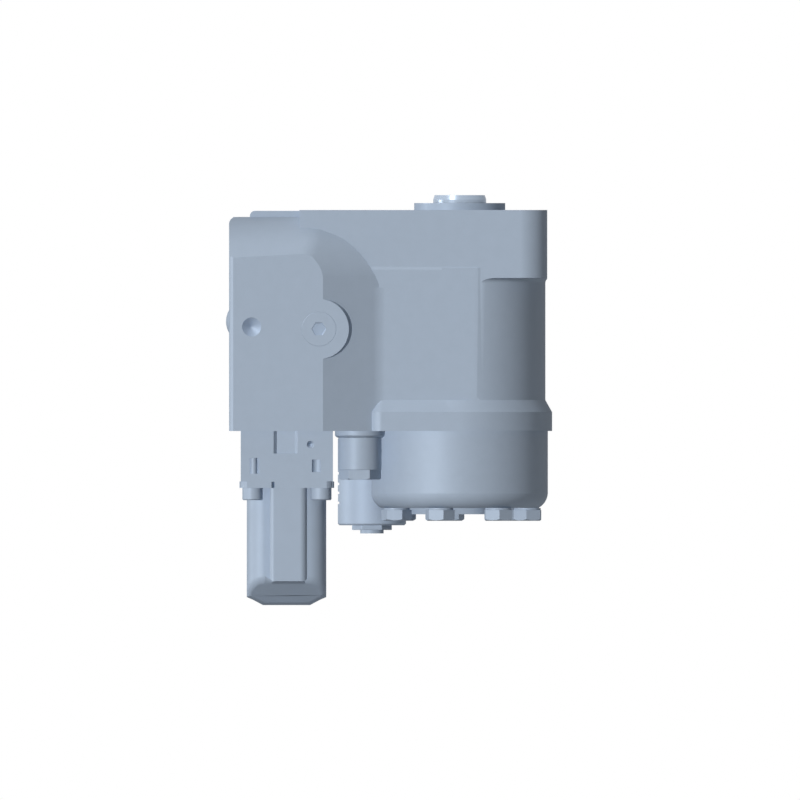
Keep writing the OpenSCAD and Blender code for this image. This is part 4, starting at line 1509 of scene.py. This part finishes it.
@dataclass
class SolenoidValve:
    """The solenoid valve with its coil, and the screw-in cartridge beside it."""

    shop: Workshop
    tube_edge: float = 0.2 * MM
    case_edge: float = 0.3 * MM
    cartridge_wire: float = 0.6 * MM
    cartridge_turns: int = 6
    plunger_wire: float = 0.5 * MM
    plunger_turns: int = 3
    travel: float = 2 * MM

    def build(self) -> None:
        """Builds and dresses both valves."""
        tube, case = EdgeBreak(self.tube_edge), EdgeBreak(self.case_edge)
        self.shop.show("cartridge_body", "cartridge_case", PLATED, tube, "machined_steel")
        self.shop.show("solenoid_tube", "solenoid_case", PLATED, tube, "machined_steel")
        self.coil(case)
        self.shop.show("coil_nut", "retaining_nut", PLATED, case, "fastener")
        self.shop.show("coil_connector", "coil_socket_case", SOCKETS, case, "connector")
        self.shop.dress(HARDENED, "cartridge_seat", "cartridge_poppet", "solenoid_plunger")
        self.springs()

    def coil(self, edge: EdgeBreak) -> None:
        """Shows the coil, its wall shaded as round between the small ribs.

        Args:
            edge: How its edges are broken.
        """
        nut_low, nut_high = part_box("coil_nut")
        axis = (nut_low + nut_high) / 2
        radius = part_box("coil")[1].x - axis.x
        coil = broken_copy("coil", "coil_case", self.shop.get(COIL_CASE_PAINTED_HIGHLIGHT), edge)
        carried(rounded(coil, axis, radius), "housing")

    def springs(self) -> None:
        """Winds the springs that close the poppet and lift the plunger."""
        steel = self.shop.get(SPRING)
        cartridge = Coil("cartridge_spring", "cartridge_coil", self.cartridge_wire, self.cartridge_turns)
        cartridge.pressed(steel)
        plunger = Coil("plunger_spring", "plunger_coil", self.plunger_wire, self.plunger_turns)
        plunger.pressed(steel)


@dataclass(frozen=True)
class Lamp:
    """A distant soft lamp. Its angles are in degrees, round from the camera's side and up."""

    name: str
    azimuth: float
    height: float
    strength: float
    spread: float
    shadow: bool = False

    def hang(self) -> None:
        """Puts the lamp in the scene."""
        light = bpy.data.lights.new(self.name, "SUN")
        light.energy = self.strength
        light.angle = math.radians(self.spread)
        light.use_shadow = self.shadow
        azimuth, height = math.radians(self.azimuth), math.radians(self.height)
        flat = math.cos(height)
        toward = Vector((math.sin(azimuth) * flat, -math.cos(azimuth) * flat, math.sin(height)))
        holder = bpy.data.objects.new(self.name, light)
        holder.rotation_euler = toward.to_track_quat("Z", "Y").to_euler()
        bpy.context.scene.collection.objects.link(holder)


@dataclass
class Studio:
    """Camera, floor and plain soft light.

    As in the photograph, a key and a weak fill come from the left and throw no shadow, and a faint
    lamp above lays the soft shadow on the floor.
    """

    shop: Workshop
    lamps: Tuple[Lamp, ...] = (
        Lamp("key", -35.0, 23.0, 3.2, 8.0),
        Lamp("fill", -95.0, 5.0, 0.45, 20.0),
        Lamp("top", 20.0, 80.0, 0.25, 40.0, shadow=True),
    )
    dim: float = 0.06
    view_centre: Tuple[float, float] = (-29.25 * MM, -93.1 * MM)
    view_width: float = 392 * MM
    view_distance: float = 1.0
    view_reach: float = 10.0
    floor_half: float = 6.0
    floor_gap: float = 0.3 * MM

    def build(self) -> None:
        """Sets the scene up."""
        self.camera()
        self.floor()
        for lamp in self.lamps:
            lamp.hang()
        self.world()
        bpy.context.scene.view_settings.view_transform = "Standard"

    def camera(self) -> None:
        """Looks along +Y without perspective, as the photograph does."""
        data = bpy.data.cameras.new("camera")
        data.type = "ORTHO"
        data.ortho_scale = self.view_width
        data.clip_end = self.view_reach
        camera = bpy.data.objects.new("camera", data)
        camera.location = (self.view_centre[0], -self.view_distance, self.view_centre[1])
        camera.rotation_euler = (math.pi / 2, 0.0, 0.0)
        bpy.context.scene.collection.objects.link(camera)
        bpy.context.scene.camera = camera

    def floor(self) -> None:
        """Lays a wide floor just under the lowest piece."""
        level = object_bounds()[0].z - self.floor_gap
        half = self.floor_half
        corners = [(-half, -half, level), (half, -half, level), (half, half, level), (-half, half, level)]
        mesh = bpy.data.meshes.new("floor")
        mesh.from_pydata(corners, [], [(0, 1, 2, 3)])
        mesh.materials.append(self.shop.get(FLOOR))
        floor = bpy.data.objects.new("floor", mesh)
        bpy.context.scene.collection.objects.link(floor)
        floor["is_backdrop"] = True

    def world(self) -> None:
        """White where the camera, metal or glass sees it, and dim as a light."""
        world = bpy.data.worlds.new("studio")
        bpy.context.scene.world = world
        world.use_nodes = True
        tree = world.node_tree
        tree.nodes.clear()
        output = tree.nodes.new("ShaderNodeOutputWorld")
        background = tree.nodes.new("ShaderNodeBackground")
        background.inputs["Color"].default_value = (1.0, 1.0, 1.0, 1.0)
        rays = tree.nodes.new("ShaderNodeLightPath").outputs
        camera, glossy = Expr(tree, rays["Is Camera Ray"]), Expr(tree, rays["Is Glossy Ray"])
        seen = camera.most(glossy).most(Expr(tree, rays["Is Transmission Ray"]))
        strength = seen * (1 - self.dim) + self.dim
        tree.links.new(strength.socket, background.inputs["Strength"])
        tree.links.new(background.outputs[0], output.inputs["Surface"])


def write_sizes() -> None:
    """Updates the view layer.
    """
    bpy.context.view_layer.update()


def main() -> None:
    """Builds every sub-assembly in order, then the studio."""
    logging.basicConfig(level=logging.INFO, format="%(name)s: %(message)s")
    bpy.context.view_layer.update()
    shop = Workshop()
    for part in (SteeringUnit(shop), ValveBlock(shop), PilotUnit(shop), SolenoidValve(shop)):
        LOG.info("building the %s", type(part).__name__)
        part.build()
    write_sizes()
    Studio(shop).build()


if __name__ == "__main__":
    main()
